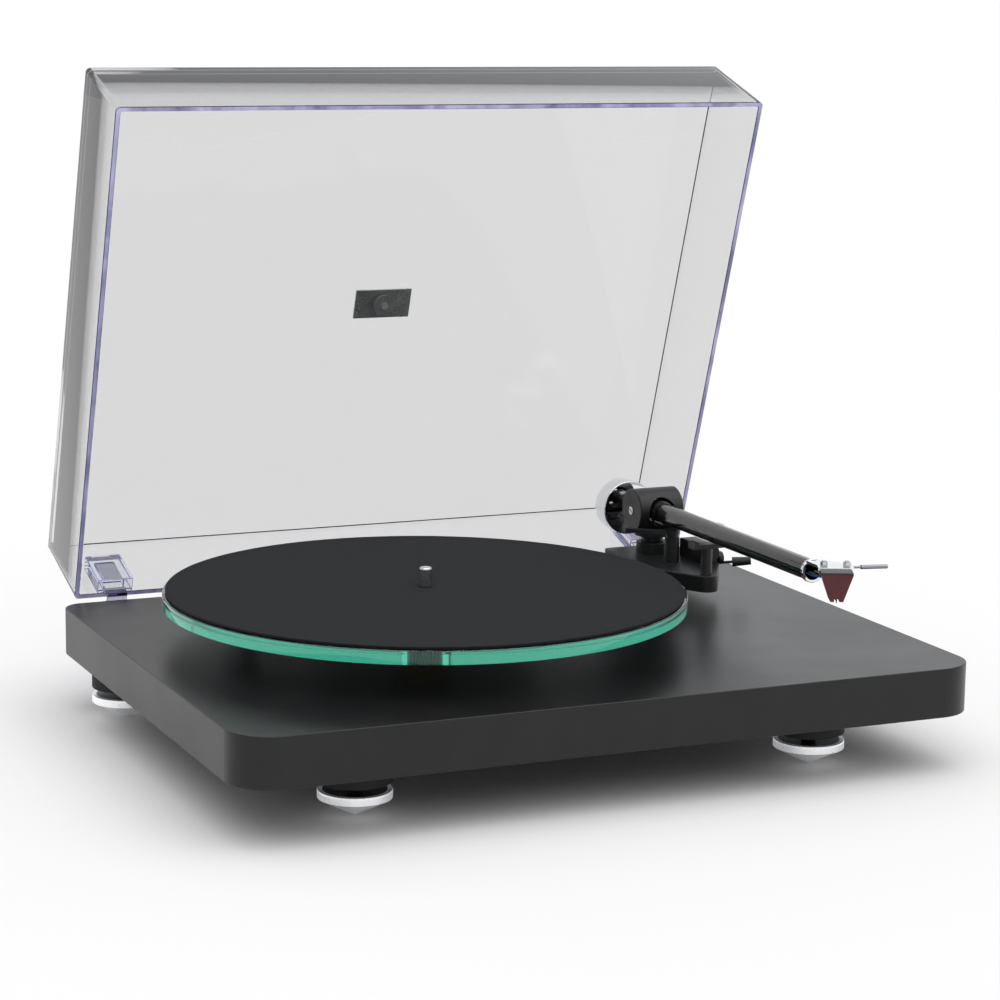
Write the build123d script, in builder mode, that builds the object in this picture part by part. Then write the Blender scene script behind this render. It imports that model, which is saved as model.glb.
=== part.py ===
from build123d import *
import os
from math import cos, hypot, radians, sin

# A belt-drive turntable: a plinth on four levelling feet, a glass platter with a felt mat,
# a pivoted tonearm, and a clear dust cover that stands open on two hinges.
# The origin is on the spindle's axis at the top of the mat, where a record lies.
# +Z is up, -Y is the front, and every size is in millimetres.

os.makedirs("parts", exist_ok=True)

RUN = 0.05                      # radial clearance of a running fit

# Plinth
PLINTH_W = 436
PLINTH_D = 328
PLINTH_T = 28
PLINTH_X = 45.2                 # the plinth's centre, from the spindle
PLINTH_Y = -11.7
PLINTH_TOP = -29
PLINTH_BOTTOM = PLINTH_TOP - PLINTH_T
PLINTH_REAR = PLINTH_Y + PLINTH_D / 2
FRONT_CORNER_R = 24
REAR_CORNER_R = 13
EDGE_R = 0.7
SKIN = 2                        # wood left above the service pocket
COVER_T = 1.5

# Platter and its bearing
GLASS_R = 150
GLASS_T = 8
MAT_R = 148.5
MAT_T = 1.6
SPINDLE_R = 3.6
SPINDLE_H = 11.5
SEAT_R = 3.0                    # the spindle's seat in the hub, under the record's pin
SHAFT_R = 5
HUB_R = 10
SUB_R = 63.5
SUB_T = 8
GLASS_TOP = -MAT_T
GLASS_BOTTOM = GLASS_TOP - GLASS_T
HOUSING_R = 11
HOUSING_TOP = -20.5
HOUSING_FLOOR = -53
SHAFT_END = -48

# Motor and belt
MOTOR_X = -92
MOTOR_Y = 62
MOTOR_R = 24
MOTOR_H = 18
PULLEY_R = SUB_R / 7.5          # 33 turns a minute from a 250 turn motor
PULLEY_FAST_R = PULLEY_R * 1.35
MOTOR_SHAFT_R = 1.6
BELT_T = 0.7
BELT_W = 5
BELT_GAP = 0.15
BELT_Z = GLASS_BOTTOM - SUB_T / 2

# Pockets milled into the plinth's underside
SERVICE = (-120, 24, 130, 80)   # x, y of the near left corner, width, depth
WIRING = (150, 54, 60, 90)
WIRING_SKIN = 6
POCKET_R = 6

# Feet
COLLAR_R = 20
COLLAR_H = 14.5
FOOT_GAP = 4
RIM_H = 4.8
CONE_H = 9.2
TIP_R = 2
STUD_R = 4
INSERT_R = 17.4
INSERT_T = 1
FLOOR = PLINTH_BOTTOM - COLLAR_H - FOOT_GAP - RIM_H - CONE_H
RIM_TOP = FLOOR + CONE_H + RIM_H
FEET = {
    "front_left": (PLINTH_X - 137, PLINTH_Y - 114),
    "front_right": (PLINTH_X + 137, PLINTH_Y - 114),
    "rear_left": (PLINTH_X - 190.5, PLINTH_Y + 121.3),
    "rear_right": (PLINTH_X + 190.5, PLINTH_Y + 121.3),
}

# Dust cover, drawn closed in a plane that is turned open about the hinge axis
OPEN_ANGLE = 71.8
HINGE_Y = PLINTH_REAR + 8.7
HINGE_Z = PLINTH_TOP - 6.2
LID_W = 410
LID_D = 316
LID_H = 63.5
LID_WALL = 3
LID_CORNER_R = 3
LID_RIM = 7.8                   # rim's height over the hinge axis, closed
LID_BACK = -2.7                 # rear face from the hinge axis, closed
LID_X = PLINTH_X
LID_Y = LID_BACK - LID_D / 2
LID_TOP = LID_RIM + LID_H
LID_INSIDE = LID_TOP - LID_WALL
WALL_IN = LID_BACK - LID_WALL
HINGES = {"left": PLINTH_X - 180, "right": PLINTH_X + 180}
SOCKET_W = 22
SOCKET_D = 9
SOCKET_H = 30
TONGUE_W = 12
TONGUE_T = 2.5
KNUCKLE_R = 4
PIN_R = 2
EAR_T = 3
EAR_GAP = 0.3
BRACKET_T = 3
BADGE = (43.2, -162.7)
BADGE_W = 37
BADGE_D = 19
BADGE_T = 1.2
BADGE_PIN_R = 2.2
BADGE_RING_R = 7

# Tonearm
PIVOT_X = 188.6
PIVOT_Y = 84.2
ARM_Z = 17.8                    # height of the tube's axis
TUBE_R = 6.15
TUBE_BORE_R = 5.3
TUBE_FRONT = -196.6             # tube's end, from the pivot
STYLUS_X = -0.8
STYLUS_Y = -225.3
STYLUS_Z = 5
OFFSET_ANGLE = 24               # headshell's turn towards the spindle
BARREL_R = 13.5
BARREL_HALF = 15
BARREL_MOUTH_R = 9.2
DISC_R = 11.4
DISC_BOTTOM = 1.8
DISC_TOP = 4.6
BASE_TOP = -9.3
BASE_T = 10
BASE_W = 48
BASE_REAR = 21                # rear edge behind the pivot
BASE_D = 65
BOSS_R = 7
REST_Y = 12.3
PILLAR_R = 10
PILLAR_TOP = -2.3
SHANK_R = 8
LIFT_X = -2                     # lift column, from the pivot
LIFT_Y = -30.4
LIFT_R = 4.65
LIFT_TOP = 10.7
LIFT_PLATE_T = 2.5
LIFT_TRAVEL = 2.5
LIFT_SLEEVE_R = 3.8
BOX_X = 200.2
BOX_Y = 40.3
BOX_W = 11
BOX_D = 29
BOX_H = 11
KNOB_R = 5.2
KNOB_T = 3.5
LEVER_Y = 44.3
LEVER_Z = -7.3
WEIGHT_R = 17
WEIGHT_L = 13.8
WEIGHT_DROP = 5.2
WEIGHT_FRONT = 33.5
STUB_R = 5
STUB_END = 57
PLATE_T = 1.6
PLATE_TOP = ARM_Z + TUBE_R

# Screws shared by the covers, hinges, connector plate and motor
SCREW_R = 1.5
SCREW_HEAD_R = 2.8
SCREW_HEAD_T = 1.6


# ---------------------------------------------------------------- plinth
def pocket_centre(pocket):
    x, y, width, depth = pocket
    return x + width / 2, y + depth / 2


PHONO_XS = (166, 182)
GROUND_X = 196
PORT_Z = (PLINTH_TOP + PLINTH_BOTTOM) / 2
DC_X = -60
SWITCH = (-138, -130)
SWITCH_W = 22
SWITCH_D = 14
SWITCH_H = 14

with BuildPart() as plinth:
    with BuildSketch(Plane.XY.offset(PLINTH_BOTTOM)):
        with Locations((PLINTH_X, PLINTH_Y)):
            Rectangle(PLINTH_W, PLINTH_D)
    extrude(amount=PLINTH_T)
    fillet(plinth.edges().filter_by(Axis.Z).group_by(Axis.Y)[0], FRONT_CORNER_R)
    fillet(plinth.edges().filter_by(Axis.Z).group_by(Axis.Y)[-1], REAR_CORNER_R)
    fillet(plinth.edges().group_by(Axis.Z)[-1], EDGE_R)
    fillet(plinth.edges().group_by(Axis.Z)[0], EDGE_R)
    with BuildSketch(Plane.XY.offset(PLINTH_BOTTOM)):
        Circle(HOUSING_R + RUN)
    extrude(amount=PLINTH_T, mode=Mode.SUBTRACT)
    with BuildSketch(Plane.XY.offset(PLINTH_BOTTOM)):
        with Locations(pocket_centre(SERVICE)):
            RectangleRounded(SERVICE[2], SERVICE[3], POCKET_R)
    extrude(amount=PLINTH_T - SKIN, mode=Mode.SUBTRACT)
    with BuildSketch(Plane.XY.offset(PLINTH_BOTTOM)):
        with Locations(pocket_centre(WIRING)):
            RectangleRounded(WIRING[2], WIRING[3], POCKET_R)
    extrude(amount=PLINTH_T - WIRING_SKIN, mode=Mode.SUBTRACT)
    with BuildSketch(Plane.XY.offset(PLINTH_BOTTOM)):
        with Locations(SWITCH):
            Rectangle(SWITCH_W, SWITCH_D)
    extrude(amount=SWITCH_H, mode=Mode.SUBTRACT)
    with BuildSketch(Plane.XY.offset(PLINTH_TOP)):
        with Locations((MOTOR_X, MOTOR_Y)):
            Circle(MOTOR_SHAFT_R + 3)
        with Locations((MOTOR_X - 18, MOTOR_Y), (MOTOR_X + 18, MOTOR_Y)):
            Circle(SCREW_R)
        with Locations((PIVOT_X, PIVOT_Y)):
            Circle(SHANK_R + RUN)
    extrude(amount=-WIRING_SKIN, mode=Mode.SUBTRACT)
    with BuildSketch(Plane.XZ.offset(-PLINTH_REAR)):
        with Locations((PHONO_XS[0], PORT_Z), (PHONO_XS[1], PORT_Z)):
            Circle(5)
        with Locations((GROUND_X, PORT_Z)):
            Circle(2)
    extrude(amount=12, mode=Mode.SUBTRACT)
    with BuildSketch(Plane.XZ.offset(-PLINTH_REAR)):
        with Locations((DC_X, PORT_Z)):
            Circle(5.5)
    extrude(amount=PLINTH_REAR - SERVICE[1] - SERVICE[3] + 1, mode=Mode.SUBTRACT)
plinth.part.label = "plinth"
export_step(plinth.part, "parts/plinth.step")


# ---------------------------------------------------------------- covers, screws
COVERS = (
    (*pocket_centre(SERVICE), SERVICE[2] + 8, SERVICE[3] + 8),
    (*pocket_centre(WIRING), WIRING[2] + 8, WIRING[3] + 8),
)

with BuildPart() as bottom_covers:
    with BuildSketch(Plane.XY.offset(PLINTH_BOTTOM - COVER_T)):
        for x, y, width, depth in COVERS:
            with Locations((x, y)):
                RectangleRounded(width, depth, POCKET_R)
    extrude(amount=COVER_T)
bottom_covers.part.label = "bottom_covers"
export_step(bottom_covers.part, "parts/bottom_covers.step")

with BuildPart() as case_screws:
    # cover screws: heads only, their shanks are short wood screws in the pocket walls
    with BuildSketch(Plane.XY.offset(PLINTH_BOTTOM - COVER_T)):
        for x, y, width, depth in COVERS:
            with Locations((x, y)):
                with GridLocations(width - 14, depth - 3.5, 2, 2):
                    Circle(1.7)
    extrude(amount=-SCREW_HEAD_T)
    # motor screws stand in the plinth's skin with their heads on top
    with BuildSketch(Plane.XY.offset(PLINTH_TOP)):
        with Locations((MOTOR_X - 18, MOTOR_Y), (MOTOR_X + 18, MOTOR_Y)):
            Circle(SCREW_HEAD_R)
    extrude(amount=SCREW_HEAD_T)
    with BuildSketch(Plane.XY.offset(PLINTH_TOP)):
        with Locations((MOTOR_X - 18, MOTOR_Y), (MOTOR_X + 18, MOTOR_Y)):
            Circle(SCREW_R)
    extrude(amount=-SKIN)
    # hinge bracket screws
    with BuildSketch(Plane.XZ.offset(-PLINTH_REAR - BRACKET_T)):
        for x in HINGES.values():
            with Locations((x - 12.5, HINGE_Z - 14), (x + 12.5, HINGE_Z - 14)):
                Circle(SCREW_HEAD_R)
    extrude(amount=-SCREW_HEAD_T)
    # connector plate screws
    with BuildSketch(Plane.XZ.offset(-PLINTH_REAR - 2)):
        with Locations((PHONO_XS[0] - 9.5, PORT_Z), (GROUND_X + 7.8, PORT_Z)):
            Circle(SCREW_HEAD_R)
    extrude(amount=-SCREW_HEAD_T)
case_screws.part.label = "case_screws"
export_step(case_screws.part, "parts/case_screws.step")


# ---------------------------------------------------------------- platter bearing
with BuildPart() as bearing_housing:
    with BuildSketch(Plane.XY.offset(HOUSING_FLOOR - 2)):
        Circle(HOUSING_R)
    extrude(amount=HOUSING_TOP - HOUSING_FLOOR + 2)
    with BuildSketch(Plane.XY.offset(PLINTH_TOP)):
        Circle(HOUSING_R + 8)
    extrude(amount=3)
    with BuildSketch(Plane.XY.offset(HOUSING_TOP)):
        Circle(SHAFT_R + RUN)
    extrude(amount=HOUSING_FLOOR - HOUSING_TOP, mode=Mode.SUBTRACT)
    chamfer(bearing_housing.edges().group_by(Axis.Z)[-1].sort_by(SortBy.LENGTH)[-1], 0.8)
bearing_housing.part.label = "bearing_housing"
export_step(bearing_housing.part, "parts/bearing_housing.step")

BALL_R = (SHAFT_END - HOUSING_FLOOR) / 2 - 0.02
with BuildPart(Plane.XY.offset(HOUSING_FLOOR + BALL_R)) as thrust_ball:
    Sphere(BALL_R)
thrust_ball.part.label = "thrust_ball"
export_step(thrust_ball.part, "parts/thrust_ball.step")

with BuildPart() as spindle:
    with BuildSketch(Plane.XY.offset(SHAFT_END)):
        Circle(SHAFT_R)
    extrude(amount=GLASS_BOTTOM - SHAFT_END)
    with BuildSketch(Plane.XY.offset(GLASS_BOTTOM)):
        Circle(SEAT_R)
    extrude(amount=-GLASS_BOTTOM)
    with BuildSketch():
        Circle(SPINDLE_R)
    extrude(amount=SPINDLE_H)
    fillet(spindle.edges().group_by(Axis.Z)[-1], 1.3)
    chamfer(spindle.edges().group_by(Axis.Z)[0], 0.6)
spindle.part.label = "spindle"
export_step(spindle.part, "parts/spindle.step")

with BuildPart() as sub_platter:
    with BuildSketch(Plane.XY.offset(GLASS_BOTTOM - SUB_T)):
        Circle(SUB_R)
    extrude(amount=SUB_T)
    with BuildSketch(Plane.XY.offset(GLASS_BOTTOM)):
        Circle(HUB_R)
    extrude(amount=GLASS_T - 0.4)
    with BuildSketch(Plane.XY.offset(GLASS_BOTTOM - SUB_T)):
        Circle(SUB_R - 6)
        Circle(HUB_R + 6, mode=Mode.SUBTRACT)
    extrude(amount=SUB_T - 3, mode=Mode.SUBTRACT)
    with BuildSketch(Plane.XY.offset(GLASS_BOTTOM - SUB_T)):
        Circle(SHAFT_R)
    extrude(amount=SUB_T, mode=Mode.SUBTRACT)
    with BuildSketch(Plane.XY.offset(GLASS_BOTTOM)):
        Circle(SEAT_R)
    extrude(amount=GLASS_T, mode=Mode.SUBTRACT)
sub_platter.part.label = "sub_platter"
export_step(sub_platter.part, "parts/sub_platter.step")

with BuildPart() as glass_platter:
    with BuildSketch(Plane.XY.offset(GLASS_BOTTOM)):
        Circle(GLASS_R)
    extrude(amount=GLASS_T)
    chamfer(glass_platter.edges(), 0.7)
    with BuildSketch(Plane.XY.offset(GLASS_BOTTOM)):
        Circle(HUB_R + 0.1)
    extrude(amount=GLASS_T, mode=Mode.SUBTRACT)
glass_platter.part.label = "glass_platter"
export_step(glass_platter.part, "parts/glass_platter.step")

with BuildPart() as felt_mat:
    with BuildSketch(Plane.XY.offset(GLASS_TOP)):
        Circle(MAT_R)
        Circle(SPINDLE_R + 0.2, mode=Mode.SUBTRACT)
    extrude(amount=MAT_T)
    fillet(felt_mat.edges().filter_by(GeomType.CIRCLE).group_by(Axis.Z)[-1].sort_by(SortBy.LENGTH)[-1], 0.5)
felt_mat.part.label = "felt_mat"
export_step(felt_mat.part, "parts/felt_mat.step")


# ---------------------------------------------------------------- motor and belt
MOTOR_TOP = PLINTH_TOP - SKIN

with BuildPart() as motor_case:
    with BuildSketch(Plane.XY.offset(MOTOR_TOP)):
        with Locations((MOTOR_X, MOTOR_Y)):
            Circle(MOTOR_R)
    extrude(amount=-MOTOR_H)
    fillet(motor_case.edges().group_by(Axis.Z)[0], 2)
    with BuildSketch(Plane.XY.offset(MOTOR_TOP)):
        with Locations((MOTOR_X, MOTOR_Y)):
            Circle(MOTOR_SHAFT_R + RUN)
    extrude(amount=-MOTOR_H + 3, mode=Mode.SUBTRACT)
motor_case.part.label = "motor_case"
export_step(motor_case.part, "parts/motor_case.step")

with BuildPart() as motor_shaft:
    with BuildSketch(Plane.XY.offset(MOTOR_TOP - MOTOR_H + 4)):
        with Locations((MOTOR_X, MOTOR_Y)):
            Circle(MOTOR_SHAFT_R)
    extrude(amount=BELT_Z + 3.5 - (MOTOR_TOP - MOTOR_H + 4))
motor_shaft.part.label = "motor_shaft"
export_step(motor_shaft.part, "parts/motor_shaft.step")

with BuildPart() as motor_pulley:
    with BuildSketch(Plane.XY.offset(BELT_Z - 3)):
        with Locations((MOTOR_X, MOTOR_Y)):
            Circle(PULLEY_R)
    extrude(amount=6)
    with BuildSketch(Plane.XY.offset(BELT_Z - 3)):
        with Locations((MOTOR_X, MOTOR_Y)):
            Circle(PULLEY_FAST_R)
    extrude(amount=-6.5)
    with BuildSketch(Plane.XY.offset(BELT_Z + 3)):
        with Locations((MOTOR_X, MOTOR_Y)):
            Circle(MOTOR_SHAFT_R)
    extrude(amount=-12.5, mode=Mode.SUBTRACT)
motor_pulley.part.label = "motor_pulley"
export_step(motor_pulley.part, "parts/motor_pulley.step")

with BuildPart() as drive_belt:
    with BuildSketch(Plane.XY.offset(BELT_Z - BELT_W / 2)) as belt_outside:
        Circle(SUB_R + BELT_GAP + BELT_T)
        with Locations((MOTOR_X, MOTOR_Y)):
            Circle(PULLEY_R + BELT_GAP + BELT_T)
        make_hull()
    extrude(amount=BELT_W)
    with BuildSketch(Plane.XY.offset(BELT_Z - BELT_W / 2)) as belt_inside:
        Circle(SUB_R + BELT_GAP)
        with Locations((MOTOR_X, MOTOR_Y)):
            Circle(PULLEY_R + BELT_GAP)
        make_hull()
    extrude(amount=BELT_W, mode=Mode.SUBTRACT)
drive_belt.part.label = "drive_belt"
export_step(drive_belt.part, "parts/drive_belt.step")


# ---------------------------------------------------------------- electrics
BOARD = (-28, 64)
BOARD_T = 1.6
STANDOFF_H = 4

with BuildPart() as control_board:
    with BuildSketch(Plane.XY.offset(MOTOR_TOP - STANDOFF_H - BOARD_T)):
        with Locations(BOARD):
            Rectangle(56, 66)
    extrude(amount=BOARD_T)
    with BuildSketch(Plane.XY.offset(MOTOR_TOP - STANDOFF_H)):
        with Locations(BOARD):
            with GridLocations(48, 58, 2, 2):
                Circle(2.5)
    extrude(amount=STANDOFF_H)
    with BuildSketch(Plane.XY.offset(MOTOR_TOP - STANDOFF_H - BOARD_T)):
        with Locations((BOARD[0] - 10, BOARD[1] + 8), (BOARD[0] + 12, BOARD[1] - 12)):
            Rectangle(14, 18)
        with Locations((BOARD[0] + 14, BOARD[1] + 16)):
            Circle(5)
    extrude(amount=-6)
control_board.part.label = "control_board"
export_step(control_board.part, "parts/control_board.step")

DC_FLANGE_R = 7
DC_BORE_R = 2.8
DC_DEPTH = 10
with BuildPart() as dc_inlet:
    with BuildSketch(Plane.XZ.offset(-PLINTH_REAR)):
        with Locations((DC_X, PORT_Z)):
            Circle(DC_FLANGE_R)
    extrude(amount=-1.2)
    with BuildSketch(Plane.XZ.offset(-PLINTH_REAR)):
        with Locations((DC_X, PORT_Z)):
            Circle(5.4)
    extrude(amount=14)
    with BuildSketch(Plane.XZ.offset(-PLINTH_REAR - 1.2)):
        with Locations((DC_X, PORT_Z)):
            Circle(DC_BORE_R)
    extrude(amount=DC_DEPTH, mode=Mode.SUBTRACT)
dc_inlet.part.label = "dc_inlet"
export_step(dc_inlet.part, "parts/dc_inlet.step")

CONNECTOR_T = 2
PHONO_R = 4.15
with BuildPart() as connector_plate:
    with BuildSketch(Plane.XZ.offset(-PLINTH_REAR)):
        with Locations(((PHONO_XS[0] + GROUND_X) / 2 - 1, PORT_Z)):
            RectangleRounded(54, 20, 2)
        with Locations((PHONO_XS[0], PORT_Z), (PHONO_XS[1], PORT_Z)):
            Circle(4.5, mode=Mode.SUBTRACT)
        with Locations((GROUND_X, PORT_Z)):
            Circle(2, mode=Mode.SUBTRACT)
    extrude(amount=-CONNECTOR_T)
connector_plate.part.label = "connector_plate"
export_step(connector_plate.part, "parts/connector_plate.step")

with BuildPart() as phono_sockets:
    with BuildSketch(Plane.XZ.offset(-PLINTH_REAR - CONNECTOR_T)):
        with Locations((PHONO_XS[0], PORT_Z), (PHONO_XS[1], PORT_Z)):
            Circle(6, mode=Mode.ADD)
    extrude(amount=-1.5)
    with BuildSketch(Plane.XZ.offset(-PLINTH_REAR - CONNECTOR_T)):
        with Locations((PHONO_XS[0], PORT_Z), (PHONO_XS[1], PORT_Z)):
            Circle(4.5)
    extrude(amount=16)
    with BuildSketch(Plane.XZ.offset(-PLINTH_REAR - CONNECTOR_T - 1.5)):
        with Locations((PHONO_XS[0], PORT_Z), (PHONO_XS[1], PORT_Z)):
            Circle(PHONO_R)
    extrude(amount=-8)
    with BuildSketch(Plane.XZ.offset(-PLINTH_REAR - CONNECTOR_T - 9.5)):
        with Locations((PHONO_XS[0], PORT_Z), (PHONO_XS[1], PORT_Z)):
            Circle(1.7)
    extrude(amount=9, mode=Mode.SUBTRACT)
phono_sockets.part.label = "phono_sockets"
export_step(phono_sockets.part, "parts/phono_sockets.step")

with BuildPart() as ground_terminal:
    with BuildSketch(Plane.XZ.offset(-PLINTH_REAR - CONNECTOR_T)):
        with Locations((GROUND_X, PORT_Z)):
            Circle(2)
    extrude(amount=12)
    with BuildSketch(Plane.XZ.offset(-PLINTH_REAR - CONNECTOR_T - 1.5)):
        with Locations((GROUND_X, PORT_Z)):
            RegularPolygon(4.6, 18)
    extrude(amount=-5)
    with BuildSketch(Plane.XZ.offset(-PLINTH_REAR - CONNECTOR_T)):
        with Locations((GROUND_X, PORT_Z)):
            Circle(2)
    extrude(amount=-8)
ground_terminal.part.label = "ground_terminal"
export_step(ground_terminal.part, "parts/ground_terminal.step")

ROCKER_W = 15
ROCKER_D = 8
ROCKER_AXIS_Z = PLINTH_BOTTOM + 3
with BuildPart() as switch_housing:
    with BuildSketch(Plane.XY.offset(PLINTH_BOTTOM)):
        with Locations(SWITCH):
            Rectangle(SWITCH_W, SWITCH_D)
    extrude(amount=SWITCH_H)
    with BuildSketch(Plane.XY.offset(PLINTH_BOTTOM)):
        with Locations(SWITCH):
            RectangleRounded(SWITCH_W + 4, SWITCH_D + 4, 2)
    extrude(amount=-1)
    with BuildSketch(Plane.XY.offset(PLINTH_BOTTOM - 1)):
        with Locations(SWITCH):
            Rectangle(ROCKER_W + 1.6, ROCKER_D + 0.6)
    extrude(amount=9, mode=Mode.SUBTRACT)
switch_housing.part.label = "switch_housing"
export_step(switch_housing.part, "parts/switch_housing.step")

# The rocker's two faces meet at ROCKER_TURN: the left one is pressed in, level with the bezel.
ROCKER_TURN = 12
ROCKER_HALF = 7
ROCKER_FACE = PLINTH_BOTTOM - 1
with BuildPart() as power_rocker:
    with BuildSketch(Plane.XZ.offset(-SWITCH[1] - ROCKER_D / 2)):
        with BuildLine():
            Polyline(
                (SWITCH[0] - ROCKER_HALF, ROCKER_AXIS_Z + 1),
                (SWITCH[0] - ROCKER_HALF, ROCKER_FACE),
                (SWITCH[0], ROCKER_FACE),
                (SWITCH[0] + ROCKER_HALF, ROCKER_FACE - ROCKER_HALF * sin(radians(ROCKER_TURN))),
                (SWITCH[0] + ROCKER_HALF, ROCKER_AXIS_Z + 1),
                close=True,
            )
        make_face()
    extrude(amount=ROCKER_D)
power_rocker.part.label = "power_rocker"
export_step(power_rocker.part, "parts/power_rocker.step")


# ---------------------------------------------------------------- feet
with BuildPart() as foot_collars:
    with BuildSketch(Plane.XY.offset(PLINTH_BOTTOM)):
        with Locations(*FEET.values()):
            Circle(COLLAR_R)
    extrude(amount=-COLLAR_H)
    fillet(foot_collars.edges().group_by(Axis.Z)[0], 1)
    with BuildSketch(Plane.XY.offset(PLINTH_BOTTOM - COLLAR_H)):
        with Locations(*FEET.values()):
            Circle(STUD_R + RUN)
    extrude(amount=COLLAR_H - 1, mode=Mode.SUBTRACT)
foot_collars.part.label = "foot_collars"
export_step(foot_collars.part, "parts/foot_collars.step")

for corner, (x, y) in FEET.items():
    with BuildPart() as foot_cone:
        with BuildSketch(Plane.XZ.offset(-y)):
            with BuildLine():
                Polyline(
                    (x, RIM_TOP),
                    (x + COLLAR_R - 0.5, RIM_TOP),
                    (x + COLLAR_R, RIM_TOP - 0.5),
                    (x + COLLAR_R, FLOOR + CONE_H + 0.4),
                    (x + COLLAR_R - 0.6, FLOOR + CONE_H),
                    (x + TIP_R, FLOOR),
                    (x, FLOOR),
                    close=True,
                )
            make_face()
        revolve(axis=Axis((x, y, 0), (0, 0, 1)))
        with BuildSketch(Plane.XY.offset(RIM_TOP)):
            with Locations((x, y)):
                Circle(INSERT_R)
        extrude(amount=-INSERT_T, mode=Mode.SUBTRACT)
    foot_cone.part.label = f"foot_cone_{corner}"
    export_step(foot_cone.part, f"parts/foot_cone_{corner}.step")

    with BuildPart() as foot_stud:
        with BuildSketch(Plane.XY.offset(RIM_TOP - INSERT_T)):
            with Locations((x, y)):
                Circle(INSERT_R)
        extrude(amount=INSERT_T)
        with BuildSketch(Plane.XY.offset(RIM_TOP)):
            with Locations((x, y)):
                Circle(STUD_R)
        extrude(amount=FOOT_GAP + COLLAR_H - 2)
    foot_stud.part.label = f"foot_stud_{corner}"
    export_step(foot_stud.part, f"parts/foot_stud_{corner}.step")


# ---------------------------------------------------------------- dust cover
LID_PLANE = Plane(
    origin=(0, HINGE_Y, HINGE_Z),
    x_dir=(1, 0, 0),
    z_dir=(0, sin(radians(OPEN_ANGLE)), cos(radians(OPEN_ANGLE))),
)
LID_UP = Axis(LID_PLANE.origin, LID_PLANE.z_dir)

with BuildPart() as lid:
    with BuildSketch(LID_PLANE.offset(LID_RIM)):
        with Locations((LID_X, LID_Y)):
            RectangleRounded(LID_W, LID_D, LID_CORNER_R)
    extrude(amount=LID_H)
    fillet(lid.edges().group_by(LID_UP)[-1], 1.5)
    with BuildSketch(LID_PLANE.offset(LID_RIM)):
        with Locations((LID_X, LID_Y)):
            RectangleRounded(LID_W - 2 * LID_WALL, LID_D - 2 * LID_WALL, 1)
    extrude(amount=LID_H - LID_WALL, mode=Mode.SUBTRACT)
    with BuildSketch(LID_PLANE.offset(LID_INSIDE)):
        with Locations(BADGE):
            Circle(BADGE_PIN_R)
    extrude(amount=LID_WALL, mode=Mode.SUBTRACT)
lid.part.label = "lid"
export_step(lid.part, "parts/lid.step")

with BuildPart() as lid_badge:
    with BuildSketch(LID_PLANE.offset(LID_TOP)):
        with Locations(BADGE):
            Rectangle(BADGE_W, BADGE_D)
    extrude(amount=BADGE_T)
    with BuildSketch(LID_PLANE.offset(LID_TOP)):
        with Locations(BADGE):
            Circle(BADGE_PIN_R)
    extrude(amount=-LID_WALL - 2.5)
lid_badge.part.label = "lid_badge"
export_step(lid_badge.part, "parts/lid_badge.step")

with BuildPart() as badge_ring:
    with BuildSketch(LID_PLANE.offset(LID_INSIDE)):
        with Locations(BADGE):
            Circle(BADGE_RING_R)
            Circle(BADGE_PIN_R, mode=Mode.SUBTRACT)
    extrude(amount=-1.2)
badge_ring.part.label = "badge_ring"
export_step(badge_ring.part, "parts/badge_ring.step")

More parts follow.
